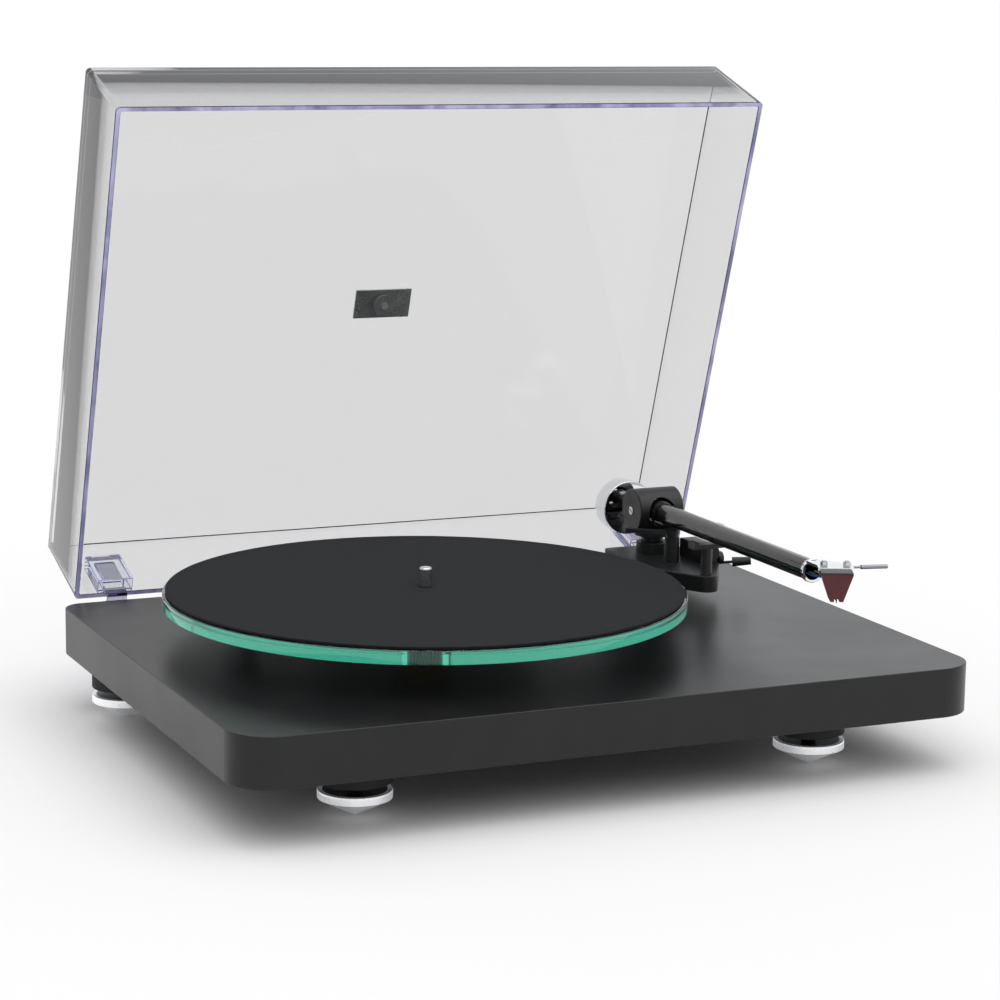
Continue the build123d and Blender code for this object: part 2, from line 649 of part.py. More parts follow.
TONGUE_BACK = WALL_IN - 0.1
TONGUE_LOW = 1.7
for side, x in HINGES.items():
    with BuildPart() as hinge_socket:
        with BuildSketch(LID_PLANE.offset(LID_RIM)):
            with Locations((x, WALL_IN - SOCKET_D / 2)):
                Rectangle(SOCKET_W, SOCKET_D)
        extrude(amount=SOCKET_H)
        with BuildSketch(LID_PLANE.offset(LID_RIM)):
            with Locations((x, WALL_IN - TONGUE_T / 2 - 0.1)):
                Rectangle(TONGUE_W + 0.2, TONGUE_T + 0.2)
        extrude(amount=SOCKET_H - 4, mode=Mode.SUBTRACT)
    hinge_socket.part.label = f"hinge_socket_{side}"
    export_step(hinge_socket.part, f"parts/hinge_socket_{side}.step")

    with BuildPart() as hinge_tongue:
        with BuildSketch(LID_PLANE.offset(TONGUE_LOW)):
            with Locations((x, TONGUE_BACK - TONGUE_T / 2)):
                Rectangle(TONGUE_W, TONGUE_T)
        extrude(amount=LID_RIM + SOCKET_H - 4.5 - TONGUE_LOW)
        with BuildSketch(LID_PLANE.offset(TONGUE_LOW)):
            with Locations((x, (TONGUE_BACK - TONGUE_T) / 2)):
                Rectangle(TONGUE_W, TONGUE_T - TONGUE_BACK)
        extrude(amount=TONGUE_T)
        with BuildSketch(Plane.YZ.offset(x - TONGUE_W / 2)):
            with Locations((HINGE_Y, HINGE_Z)):
                Circle(KNUCKLE_R)
        extrude(amount=TONGUE_W)
        with BuildSketch(Plane.YZ.offset(x - TONGUE_W / 2)):
            with Locations((HINGE_Y, HINGE_Z)):
                Circle(PIN_R + RUN)
        extrude(amount=TONGUE_W, mode=Mode.SUBTRACT)
    hinge_tongue.part.label = f"hinge_tongue_{side}"
    export_step(hinge_tongue.part, f"parts/hinge_tongue_{side}.step")

    with BuildPart() as hinge_bracket:
        with BuildSketch(Plane.XZ.offset(-PLINTH_REAR)):
            with Locations((x, HINGE_Z - 11)):
                RectangleRounded(34, 18, 2)
        extrude(amount=-BRACKET_T)
        for reach in (-1, 1):
            inner = TONGUE_W / 2 + EAR_GAP
            start = x + reach * inner
            with BuildSketch(Plane.YZ.offset(start)):
                with Locations((HINGE_Y, HINGE_Z)):
                    Circle(KNUCKLE_R)
                with Locations((PLINTH_REAR + BRACKET_T - 0.5, HINGE_Z - 7)):
                    Rectangle(1, 8)
                make_hull()
            extrude(amount=reach * EAR_T)
        with BuildSketch(Plane.YZ.offset(x - 12)):
            with Locations((HINGE_Y, HINGE_Z)):
                Circle(PIN_R)
        extrude(amount=24, mode=Mode.SUBTRACT)
    hinge_bracket.part.label = f"hinge_bracket_{side}"
    export_step(hinge_bracket.part, f"parts/hinge_bracket_{side}.step")

PIN_HALF = TONGUE_W / 2 + EAR_GAP + EAR_T + 0.8
with BuildPart() as hinge_pins:
    for x in HINGES.values():
        with BuildSketch(Plane.YZ.offset(x - PIN_HALF)):
            with Locations((HINGE_Y, HINGE_Z)):
                Circle(PIN_R)
        extrude(amount=2 * PIN_HALF)
hinge_pins.part.label = "hinge_pins"
export_step(hinge_pins.part, "parts/hinge_pins.step")


# ---------------------------------------------------------------- tonearm base
with BuildPart() as arm_base:
    with BuildSketch(Plane.XY.offset(BASE_TOP - BASE_T)):
        with Locations((PIVOT_X, PIVOT_Y + BASE_REAR - BASE_D / 2)):
            Rectangle(BASE_W, BASE_D)
        with Locations((PIVOT_X, REST_Y)):
            Circle(BOSS_R)
        make_hull()
    extrude(amount=BASE_T)
    fillet(arm_base.edges().filter_by(Axis.Z).group_by(Axis.Y)[-1], 4)
    fillet(arm_base.edges().group_by(Axis.Z)[-1], 0.8)
    with BuildSketch(Plane.XY.offset(BASE_TOP)):
        with Locations((PIVOT_X, PIVOT_Y)):
            Circle(PILLAR_R)
    extrude(amount=-BASE_T, mode=Mode.SUBTRACT)
arm_base.part.label = "arm_base"
export_step(arm_base.part, "parts/arm_base.step")

YAW_SHAFT_R = 3
YAW_SHAFT_END = -19
with BuildPart() as arm_pillar:
    with BuildSketch(Plane.XY.offset(-47)):
        with Locations((PIVOT_X, PIVOT_Y)):
            Circle(SHANK_R)
    extrude(amount=47 + PLINTH_TOP)
    with BuildSketch(Plane.XY.offset(PLINTH_TOP)):
        with Locations((PIVOT_X, PIVOT_Y)):
            Circle(15)
    extrude(amount=BASE_TOP - BASE_T - PLINTH_TOP)
    with BuildSketch(Plane.XY.offset(BASE_TOP - BASE_T)):
        with Locations((PIVOT_X, PIVOT_Y)):
            Circle(PILLAR_R)
    extrude(amount=PILLAR_TOP - BASE_TOP + BASE_T)
    chamfer(arm_pillar.edges().group_by(Axis.Z)[-1], 0.6)
    with BuildSketch(Plane.XY.offset(PILLAR_TOP)):
        with Locations((PIVOT_X, PIVOT_Y)):
            Circle(YAW_SHAFT_R + RUN)
    extrude(amount=YAW_SHAFT_END - PILLAR_TOP - 1, mode=Mode.SUBTRACT)
arm_pillar.part.label = "arm_pillar"
export_step(arm_pillar.part, "parts/arm_pillar.step")

with BuildPart() as arm_nut:
    with BuildSketch(Plane.XY.offset(PLINTH_TOP - WIRING_SKIN)):
        with Locations((PIVOT_X, PIVOT_Y)):
            RegularPolygon(13, 6)
            Circle(SHANK_R, mode=Mode.SUBTRACT)
    extrude(amount=-5)
arm_nut.part.label = "arm_nut"
export_step(arm_nut.part, "parts/arm_nut.step")

with BuildPart() as lift_column:
    with BuildSketch(Plane.XY.offset(BASE_TOP)):
        with Locations((PIVOT_X + LIFT_X, PIVOT_Y + LIFT_Y)):
            Circle(LIFT_R)
    extrude(amount=LIFT_TOP - LIFT_PLATE_T - LIFT_TRAVEL - 0.2 - BASE_TOP)
    with BuildSketch(Plane.XY.offset(BASE_TOP + 1)):
        with Locations((PIVOT_X + LIFT_X, PIVOT_Y + LIFT_Y)):
            Circle(LIFT_SLEEVE_R + RUN)
    extrude(amount=40, mode=Mode.SUBTRACT)
lift_column.part.label = "lift_column"
export_step(lift_column.part, "parts/lift_column.step")

# The platform is an arc about the arm's pivot, so that it is under the tube at every angle.
LIFT_REACH = hypot(LIFT_X, LIFT_Y)
ARC_HALF_W = 2
ARC_FROM = -88
ARC_TO = -148


def on_arc(radius, degrees):
    return (PIVOT_X + radius * cos(radians(degrees)), PIVOT_Y + radius * sin(radians(degrees)))


with BuildPart() as lift_platform:
    with BuildSketch(Plane.XY.offset(LIFT_TOP - LIFT_PLATE_T)):
        with BuildLine():
            mid = (ARC_FROM + ARC_TO) / 2
            near = LIFT_REACH - ARC_HALF_W
            far = LIFT_REACH + ARC_HALF_W
            ThreePointArc(on_arc(far, ARC_FROM), on_arc(far, mid), on_arc(far, ARC_TO))
            Line(on_arc(far, ARC_TO), on_arc(near, ARC_TO))
            ThreePointArc(on_arc(near, ARC_TO), on_arc(near, mid), on_arc(near, ARC_FROM))
            Line(on_arc(near, ARC_FROM), on_arc(far, ARC_FROM))
        make_face()
        with Locations((PIVOT_X + LIFT_X, PIVOT_Y + LIFT_Y)):
            Circle(LIFT_R)
    extrude(amount=LIFT_PLATE_T)
    with BuildSketch(Plane.XY.offset(LIFT_TOP - LIFT_PLATE_T)):
        with Locations((PIVOT_X + LIFT_X, PIVOT_Y + LIFT_Y)):
            Circle(LIFT_SLEEVE_R)
    extrude(amount=-13)
lift_platform.part.label = "lift_platform"
export_step(lift_platform.part, "parts/lift_platform.step")

with BuildPart() as lift_box:
    with BuildSketch(Plane.XY.offset(BASE_TOP)):
        with Locations((BOX_X + BOX_W / 2, BOX_Y + BOX_D / 2)):
            Rectangle(BOX_W, BOX_D)
    extrude(amount=BOX_H)
    fillet(lift_box.edges().group_by(Axis.Z)[-1], 0.8)
    with BuildSketch(Plane.YZ.offset(BOX_X + BOX_W)):
        with Locations((LEVER_Y, LEVER_Z)):
            Circle(1.2 + RUN)
    extrude(amount=-6, mode=Mode.SUBTRACT)
    with BuildSketch(Plane.XZ.offset(-BOX_Y)):
        with Locations((BOX_X + BOX_W / 2, BASE_TOP + 6.7)):
            Circle(1.5 + RUN)
    extrude(amount=-8, mode=Mode.SUBTRACT)
lift_box.part.label = "lift_box"
export_step(lift_box.part, "parts/lift_box.step")

with BuildPart() as bias_knob:
    with BuildSketch(Plane.XZ.offset(-BOX_Y + 0.3)):
        with Locations((BOX_X + BOX_W / 2, BASE_TOP + 6.7)):
            Circle(KNOB_R)
    extrude(amount=KNOB_T)
    fillet(bias_knob.edges().group_by(Axis.Y)[0], 0.6)
    with BuildSketch(Plane.XZ.offset(-BOX_Y + 0.3)):
        with Locations((BOX_X + BOX_W / 2, BASE_TOP + 6.7)):
            Circle(1.5)
    extrude(amount=-7)
bias_knob.part.label = "bias_knob"
export_step(bias_knob.part, "parts/bias_knob.step")

# Cue lever: a hub beside the box, a thin rod out to the right and front, and a grip on it.
LEVER_HUB_X = PIVOT_X + BASE_W / 2 + 0.4
LEVER_HUB_R = 4
LEVER_REACH = (17, -10, 1.9)
ROD_FROM = Vector(LEVER_HUB_X + 1.5, LEVER_Y, LEVER_Z - LEVER_HUB_R + 0.9)
ROD_TO = ROD_FROM + Vector(*LEVER_REACH)
ROD_L = (ROD_TO - ROD_FROM).length
GRIP_L = 11.5
with BuildPart() as cue_lever:
    with BuildSketch(Plane.YZ.offset(LEVER_HUB_X)):
        with Locations((LEVER_Y, LEVER_Z)):
            Circle(LEVER_HUB_R)
    extrude(amount=3)
    with BuildSketch(Plane.YZ.offset(LEVER_HUB_X)):
        with Locations((LEVER_Y, LEVER_Z)):
            Circle(1.2)
    extrude(amount=BOX_X + BOX_W - 5 - LEVER_HUB_X)
    with BuildSketch(Plane(origin=ROD_FROM, z_dir=ROD_TO - ROD_FROM)):
        Circle(0.9)
    extrude(amount=ROD_L)
    with BuildSketch(Plane(origin=ROD_TO, z_dir=ROD_TO - ROD_FROM)):
        Circle(2.4)
    extrude(amount=-GRIP_L, taper=-3)
cue_lever.part.label = "cue_lever"
export_step(cue_lever.part, "parts/cue_lever.step")

# Arm rest: a post on the tongue's boss with a cradle, open towards the record.
CRADLE_FLOOR = 9.6
CRADLE_D = 8
with BuildPart() as arm_rest:
    with BuildSketch(Plane.XY.offset(BASE_TOP)):
        with Locations((PIVOT_X, REST_Y)):
            Circle(3.4)
    extrude(amount=CRADLE_FLOOR - 2.6 - BASE_TOP)
    with BuildSketch(Plane.XZ.offset(-REST_Y - CRADLE_D / 2)):
        with BuildLine():
            Polyline(
                (PIVOT_X - 10.6, CRADLE_FLOOR - 2.6),
                (PIVOT_X + 9.4, CRADLE_FLOOR - 2.6),
                (PIVOT_X + 9.4, 21),
                (PIVOT_X + 6.7, 21),
                (PIVOT_X + 6.7, CRADLE_FLOOR + 2),
                (PIVOT_X + 4.7, CRADLE_FLOOR),
                (PIVOT_X - 7.6, CRADLE_FLOOR),
                (PIVOT_X - 7.6, 11.3),
                (PIVOT_X - 10.6, 11.3),
                close=True,
            )
        make_face()
    extrude(amount=CRADLE_D)
arm_rest.part.label = "arm_rest"
export_step(arm_rest.part, "parts/arm_rest.step")


# ---------------------------------------------------------------- tonearm bearing
with BuildPart() as yaw_disc:
    with BuildSketch(Plane.XY.offset(DISC_BOTTOM)):
        with Locations((PIVOT_X, PIVOT_Y)):
            Circle(DISC_R)
    extrude(amount=DISC_TOP - DISC_BOTTOM)
    chamfer(yaw_disc.edges().group_by(Axis.Z)[-1], 0.4)
    with BuildSketch(Plane.XY.offset(DISC_BOTTOM)):
        with Locations((PIVOT_X, PIVOT_Y)):
            Circle(7)
    extrude(amount=PILLAR_TOP + 0.3 - DISC_BOTTOM)
    with BuildSketch(Plane.XY.offset(DISC_BOTTOM)):
        with Locations((PIVOT_X, PIVOT_Y)):
            Circle(YAW_SHAFT_R)
    extrude(amount=YAW_SHAFT_END - DISC_BOTTOM)
yaw_disc.part.label = "yaw_disc"
export_step(yaw_disc.part, "parts/yaw_disc.step")

BARREL_CAP = 2.5
with BuildPart() as bearing_barrel:
    with BuildSketch(Plane.YZ.offset(PIVOT_X - BARREL_HALF)):
        with Locations((PIVOT_Y, ARM_Z)):
            Circle(BARREL_R)
    extrude(amount=2 * BARREL_HALF)
    chamfer(bearing_barrel.edges(), 0.7)
    with BuildSketch(Plane.XY.offset(DISC_TOP)):
        with Locations((PIVOT_X, PIVOT_Y)):
            Rectangle(40, 40)
    extrude(amount=-5, mode=Mode.SUBTRACT)
    with BuildSketch(Plane.YZ.offset(PIVOT_X - BARREL_HALF + BARREL_CAP)):
        with Locations((PIVOT_Y, ARM_Z)):
            Circle(10.8)
    extrude(amount=2 * (BARREL_HALF - BARREL_CAP), mode=Mode.SUBTRACT)
    with BuildSketch(Plane.XZ.offset(-PIVOT_Y)):
        with Locations((PIVOT_X, ARM_Z)):
            Circle(BARREL_MOUTH_R)
    extrude(amount=20, both=True, mode=Mode.SUBTRACT)
    with BuildSketch(Plane.YZ.offset(PIVOT_X - BARREL_HALF)):
        with Locations((PIVOT_Y, ARM_Z)):
            Circle(2.6)
    extrude(amount=2 * BARREL_HALF, mode=Mode.SUBTRACT)
bearing_barrel.part.label = "bearing_barrel"
export_step(bearing_barrel.part, "parts/bearing_barrel.step")

HUB_HALF = 10.4
with BuildPart() as pivot_screws:
    for reach in (-1, 1):
        with BuildSketch(Plane.YZ.offset(PIVOT_X + reach * (BARREL_HALF + 0.5))):
            with Locations((PIVOT_Y, ARM_Z)):
                Circle(2.6)
        extrude(amount=-reach * 3.2)
        with BuildSketch(Plane.YZ.offset(PIVOT_X + reach * (BARREL_HALF - 2.7))):
            with Locations((PIVOT_Y, ARM_Z)):
                Circle(1)
        extrude(amount=-reach * (BARREL_HALF - 2.7 - HUB_HALF - 0.35))
        with BuildSketch(Plane.YZ.offset(PIVOT_X + reach * (BARREL_HALF + 0.5))):
            with Locations((PIVOT_Y, ARM_Z)):
                Rectangle(4.2, 0.8, rotation=25)
        extrude(amount=-reach * 0.8, mode=Mode.SUBTRACT)
pivot_screws.part.label = "pivot_screws"
export_step(pivot_screws.part, "parts/pivot_screws.step")


# ---------------------------------------------------------------- arm tube and head
def arm_section(distance):
    """A plane across the arm's axis, at a distance behind the pivot (less than 0 is in front)."""
    return Plane(origin=(PIVOT_X, PIVOT_Y + distance, ARM_Z), x_dir=(1, 0, 0), z_dir=(0, -1, 0))


with BuildPart() as arm_tube:
    with BuildSketch(arm_section(16)):
        Circle(TUBE_R)
    extrude(amount=16 - TUBE_FRONT)
    with BuildSketch(arm_section(-9)):
        Circle(7.2)
    extrude(amount=4)
    with BuildSketch(Plane.YZ.offset(PIVOT_X - HUB_HALF)):
        with Locations((PIVOT_Y, ARM_Z)):
            Circle(4.5)
    extrude(amount=2 * HUB_HALF)
    with BuildSketch(arm_section(16)):
        Circle(STUB_R)
    extrude(amount=16 - STUB_END)
    with BuildSketch(arm_section(TUBE_FRONT)):
        Circle(TUBE_BORE_R)
    extrude(amount=TUBE_FRONT + 14, mode=Mode.SUBTRACT)
arm_tube.part.label = "arm_tube"
export_step(arm_tube.part, "parts/arm_tube.step")

RING_R = 6.9
RING_L = 2.6
RING_LIP = 1.2
RING_FRONT = TUBE_FRONT - RING_LIP
with BuildPart() as head_ring:
    with BuildSketch(arm_section(RING_FRONT + RING_L)):
        Circle(RING_R)
    extrude(amount=RING_L)
    chamfer(head_ring.edges(), 0.3)
    with BuildSketch(arm_section(RING_FRONT + RING_L)):
        Circle(TUBE_R)
    extrude(amount=RING_L - RING_LIP, mode=Mode.SUBTRACT)
    with BuildSketch(arm_section(RING_FRONT)):
        Circle(TUBE_BORE_R)
    extrude(amount=-RING_L, mode=Mode.SUBTRACT)
head_ring.part.label = "head_ring"
export_step(head_ring.part, "parts/head_ring.step")

# The cartridge's own plane: origin over the stylus at the headshell's underside,
# x to its right, y to its back.
HEAD = Plane(
    origin=(PIVOT_X + STYLUS_X, PIVOT_Y + STYLUS_Y, PLATE_TOP - PLATE_T),
    x_dir=(cos(radians(OFFSET_ANGLE)), -sin(radians(OFFSET_ANGLE)), 0),
    z_dir=(0, 0, 1),
)
HEAD_HALF = 10
HEAD_FRONT = 4.5
HEAD_L = 16
SCREW_PITCH = 12.7
SCREW_BACK = 9.8
NECK_HALF = 4.6


def head_point(x, y):
    point = HEAD.from_local_coords(Vector(x, y, 0))
    return (point.X, point.Y)


LIFT_ROOT = Vector(*head_point(HEAD_HALF - 1.5, HEAD_L - 5), PLATE_TOP - PLATE_T / 2)
LIFT_TIP = Vector(PIVOT_X + 35.8, PIVOT_Y - 218.4, PLATE_TOP - 2.1)
LIFT_DIR = LIFT_TIP - LIFT_ROOT
with BuildPart() as headshell:
    with BuildSketch(Plane.XY.offset(PLATE_TOP - PLATE_T)):
        with BuildLine():
            Polyline(
                head_point(-HEAD_HALF, HEAD_FRONT),
                head_point(HEAD_HALF, HEAD_FRONT),
                head_point(HEAD_HALF, HEAD_L),
                (PIVOT_X + NECK_HALF, PIVOT_Y + RING_FRONT),
                (PIVOT_X - NECK_HALF, PIVOT_Y + RING_FRONT),
                head_point(-HEAD_HALF, HEAD_L - 4),
                close=True,
            )
        make_face()
    extrude(amount=PLATE_T)
    fillet(headshell.edges().filter_by(Axis.Z).group_by(Axis.Y)[0], 1)
    with BuildSketch(HEAD):
        with Locations((-SCREW_PITCH / 2, SCREW_BACK), (SCREW_PITCH / 2, SCREW_BACK)):
            Circle(1.3)
    extrude(amount=PLATE_T, mode=Mode.SUBTRACT)
    with BuildSketch(Plane(origin=LIFT_ROOT, z_dir=LIFT_DIR)):
        Circle(0.7)
    extrude(amount=LIFT_DIR.length, mode=Mode.SUBTRACT)
headshell.part.label = "headshell"
export_step(headshell.part, "parts/headshell.step")

with BuildPart() as finger_lift:
    with BuildSketch(Plane(origin=LIFT_ROOT, z_dir=LIFT_DIR)):
        Circle(0.7)
    extrude(amount=LIFT_DIR.length - 1)
    with BuildSketch(Plane(origin=LIFT_TIP, z_dir=LIFT_DIR)):
        Circle(1.2)
    extrude(amount=-17.5)
    chamfer(finger_lift.edges().filter_by(GeomType.CIRCLE).sort_by(Axis.X)[-1], 0.4)
finger_lift.part.label = "finger_lift"
export_step(finger_lift.part, "parts/finger_lift.step")

CART_TOP_T = 1
CART_HALF = 9
CART_FRONT = -2.2
CART_L = 17
WEDGE_L = 12
LEAD_R = 0.5
LEAD_SPREAD = 1.9
LEAD_Z = -5
PIN_L = 3
HEAD_FACE = Plane(
    origin=HEAD.from_local_coords(Vector(0, CART_FRONT, 0)),
    x_dir=HEAD.x_dir,
    z_dir=-HEAD.y_dir,
)
with BuildPart() as cartridge_body:
    with BuildSketch(HEAD):
        with Locations((0, CART_FRONT + 0.8 + CART_L / 2)):
            Rectangle(2 * CART_HALF, CART_L)
        with Locations((-SCREW_PITCH / 2, SCREW_BACK), (SCREW_PITCH / 2, SCREW_BACK)):
            Circle(1.3, mode=Mode.SUBTRACT)
    extrude(amount=-CART_TOP_T)
    with BuildSketch(HEAD.offset(-CART_TOP_T)):
        with Locations((0, CART_FRONT + WEDGE_L + 2.7)):
            Rectangle(9, 5.2)
    extrude(amount=-7)
    with BuildSketch(HEAD_FACE.offset(-WEDGE_L - 5.3)):
        for column in range(4):
            with Locations((LEAD_SPREAD * (column - 1.5), LEAD_Z)):
                Circle(0.4)
    extrude(amount=-PIN_L)
cartridge_body.part.label = "cartridge_body"
export_step(cartridge_body.part, "parts/cartridge_body.step")

# Stylus unit: a wedge that narrows downwards, notched for the cantilever.
WEDGE_TOP = -CART_TOP_T
WEDGE_BOTTOM = STYLUS_Z + 1.1 - (PLATE_TOP - PLATE_T)
with BuildPart() as stylus_unit:
    with BuildSketch(HEAD_FACE):
        with BuildLine():
            Polyline(
                (-CART_HALF, WEDGE_TOP),
                (CART_HALF, WEDGE_TOP),
                (3.6, WEDGE_BOTTOM),
                (1.5, WEDGE_BOTTOM),
                (1.5, WEDGE_BOTTOM + 1.6),
                (-1.5, WEDGE_BOTTOM + 1.6),
                (-1.5, WEDGE_BOTTOM),
                (-3.6, WEDGE_BOTTOM),
                close=True,
            )
        make_face()
    extrude(amount=-WEDGE_L)
    with BuildSketch(HEAD.offset(STYLUS_Z - PLATE_TOP + PLATE_T)):
        Rectangle(0.5, 0.5)
    extrude(amount=1.5)
    with BuildSketch(HEAD_FACE.offset(CART_FRONT + 0.8)):
        with Locations((0, WEDGE_BOTTOM + 0.4)):
            Rectangle(0.7, 0.7)
    extrude(amount=-6.5)
    with BuildSketch(HEAD_FACE.offset(CART_FRONT - 4)):
        with Locations((0, WEDGE_BOTTOM + 1)):
            Rectangle(1.6, 1.6)
    extrude(amount=-4)
stylus_unit.part.label = "stylus_unit"
export_step(stylus_unit.part, "parts/stylus_unit.step")

with BuildPart() as cartridge_screws:
    with BuildSketch(HEAD.offset(PLATE_T)):
        with Locations((-SCREW_PITCH / 2, SCREW_BACK), (SCREW_PITCH / 2, SCREW_BACK)):
            RegularPolygon(2.1, 16)
    extrude(amount=2.6)
    with BuildSketch(HEAD.offset(PLATE_T + 3.2)):
        with Locations((-SCREW_PITCH / 2, SCREW_BACK), (SCREW_PITCH / 2, SCREW_BACK)):
            Circle(1.25)
    extrude(amount=-PLATE_T - 3.2 - CART_TOP_T)
cartridge_screws.part.label = "cartridge_screws"
export_step(cartridge_screws.part, "parts/cartridge_screws.step")

with BuildPart() as headshell_leads:
    for i in range(4):
        row = i - 1.5
        start = Vector(PIVOT_X + LEAD_SPREAD * row, PIVOT_Y + RING_FRONT + 3, ARM_Z - 1.5 + 0.6 * (i % 2))
        end = HEAD.from_local_coords(Vector(LEAD_SPREAD * row, CART_FRONT + WEDGE_L + 8.8, LEAD_Z))
        middle = (start + end) / 2 - Vector(0, 0, 1.6)
        with BuildLine(mode=Mode.PRIVATE) as route:
            ThreePointArc(start, middle, end)
        with BuildSketch(Plane(origin=start, z_dir=route.line % 0)):
            Circle(LEAD_R)
        sweep(path=route.line)
headshell_leads.part.label = "headshell_leads"
export_step(headshell_leads.part, "parts/headshell_leads.step")

with BuildPart() as counterweight:
    with BuildSketch(arm_section(WEIGHT_FRONT + WEIGHT_L)):
        with Locations((0, -WEIGHT_DROP)):
            Circle(WEIGHT_R)
    extrude(amount=WEIGHT_L)
    chamfer(counterweight.edges(), 0.6)
    with BuildSketch(arm_section(WEIGHT_FRONT + WEIGHT_L)):
        Circle(STUB_R + RUN)
    extrude(amount=WEIGHT_L, mode=Mode.SUBTRACT)
counterweight.part.label = "counterweight"
export_step(counterweight.part, "parts/counterweight.step")
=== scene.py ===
import math

import bpy
from mathutils import Matrix, Vector, noise


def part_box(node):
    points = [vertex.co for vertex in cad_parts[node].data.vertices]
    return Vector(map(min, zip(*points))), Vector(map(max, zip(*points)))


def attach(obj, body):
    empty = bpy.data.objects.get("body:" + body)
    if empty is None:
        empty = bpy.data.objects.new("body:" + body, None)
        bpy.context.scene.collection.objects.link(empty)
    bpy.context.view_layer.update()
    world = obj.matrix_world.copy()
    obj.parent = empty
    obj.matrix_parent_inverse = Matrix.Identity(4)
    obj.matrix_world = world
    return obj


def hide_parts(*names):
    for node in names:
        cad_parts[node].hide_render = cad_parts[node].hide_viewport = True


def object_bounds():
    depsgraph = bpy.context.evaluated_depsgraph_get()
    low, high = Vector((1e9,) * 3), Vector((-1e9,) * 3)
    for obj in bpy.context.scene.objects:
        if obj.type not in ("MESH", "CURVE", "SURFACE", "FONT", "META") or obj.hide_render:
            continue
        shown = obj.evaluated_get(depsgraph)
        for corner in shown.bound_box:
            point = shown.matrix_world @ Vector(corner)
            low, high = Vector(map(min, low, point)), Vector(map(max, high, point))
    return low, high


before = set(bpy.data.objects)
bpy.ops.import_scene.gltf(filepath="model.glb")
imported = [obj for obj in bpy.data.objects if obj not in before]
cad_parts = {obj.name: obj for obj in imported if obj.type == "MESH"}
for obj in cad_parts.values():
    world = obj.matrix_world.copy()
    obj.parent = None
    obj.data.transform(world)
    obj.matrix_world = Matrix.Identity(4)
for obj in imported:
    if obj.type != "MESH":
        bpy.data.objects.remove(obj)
cad_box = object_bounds()

# ---------------------------------------------------------------- positions, in metres
FLOOR_Z = cad_box[0].z
PIVOT = Vector((0.1886, 0.0842, 0.0178))
HINGE = Vector((0.0, 0.161, -0.0352))
OPEN = math.radians(71.8)
LID_X0, LID_X1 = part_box("lid")[0].x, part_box("lid")[1].x
MM = 0.001
ON_AXIS = 1e-9


# ---------------------------------------------------------------- mesh helpers
def new_object(name, verts, faces, mat, smooth=35):
    mesh = bpy.data.meshes.new(name)
    mesh.from_pydata([tuple(v) for v in verts], [], faces)
    mesh.validate()
    mesh.shade_smooth()
    mesh.set_sharp_from_angle(angle=math.radians(smooth))
    obj = bpy.data.objects.new(name, mesh)
    bpy.context.scene.collection.objects.link(obj)
    mesh.materials.append(mat)
    return obj


def closed_loft(name, rings, mat, smooth):
    """Skins closed rings of equal length, and joins the last ring to the first."""
    n = len(rings[0])
    verts = [p for ring in rings for p in ring]
    faces = []
    for i in range(len(rings)):
        a, b = i * n, ((i + 1) % len(rings)) * n
        for j in range(n):
            k = (j + 1) % n
            faces.append((a + j, a + k, b + k, b + j))
    return new_object(name, verts, faces, mat, smooth)


def lathe(name, profile, centre, mat, segments, smooth):
    """Turns (radius, height) points about a vertical axis. Ends off the axis are joined as a closed ring."""
    centre = Vector(centre)
    closed = profile[0][0] > ON_AXIS and profile[-1][0] > ON_AXIS
    verts, faces, starts = [], [], []
    for r, h in profile:
        starts.append(len(verts))
        if r <= ON_AXIS:
            verts.append(centre + Vector((0, 0, h)))
            continue
        for j in range(segments):
            a = 2 * math.pi * j / segments
            verts.append(centre + Vector((r * math.cos(a), r * math.sin(a), h)))
    count = len(profile)
    for i in range(count if closed else count - 1):
        k = (i + 1) % count
        a, b = starts[i], starts[k]
        tip_a, tip_b = profile[i][0] <= ON_AXIS, profile[k][0] <= ON_AXIS
        for j in range(segments):
            m = (j + 1) % segments
            if tip_a:
                faces.append((a, b + m, b + j))
            elif tip_b:
                faces.append((a + j, a + m, b))
            else:
                faces.append((a + j, a + m, b + m, b + j))
    return new_object(name, verts, faces, mat, smooth)


def arc(cx, cy, r, start, end, steps):
    """Points of an arc, in degrees."""
    out = []
    for i in range(steps + 1):
        a = math.radians(start + (end - start) * i / steps)
        out.append((cx + r * math.cos(a), cy + r * math.sin(a)))
    return out


def rounded_rect(x0, y0, x1, y1, r, steps):
    corners = ((x1 - r, y1 - r, 0), (x0 + r, y1 - r, 90), (x0 + r, y0 + r, 180), (x1 - r, y0 + r, 270))
    pts = []
    for cx, cy, start in corners:
        pts += arc(cx, cy, r, start, start + 90, steps)
    return pts


def tube_along(name, points, radius, mat, sides=16, resolution=10):
    """A round tube that follows a smooth curve through the points."""
    curve = bpy.data.curves.new(name, "CURVE")
    curve.dimensions = "3D"
    curve.bevel_depth = radius
    curve.bevel_resolution = sides // 4
    curve.resolution_u = resolution
    curve.use_fill_caps = True
    spline = curve.splines.new("BEZIER")
    spline.bezier_points.add(len(points) - 1)
    for bp, p in zip(spline.bezier_points, points):
        bp.co = p
        bp.handle_left_type = bp.handle_right_type = "AUTO"
    temp = bpy.data.objects.new(name + "_curve", curve)
    bpy.context.scene.collection.objects.link(temp)
    mesh = bpy.data.meshes.new_from_object(temp.evaluated_get(bpy.context.evaluated_depsgraph_get()))
    bpy.data.objects.remove(temp)
    obj = bpy.data.objects.new(name, mesh)
    bpy.context.scene.collection.objects.link(obj)
    mesh.name = name
    mesh.shade_smooth()
    mesh.materials.clear()
    mesh.materials.append(mat)
    return obj


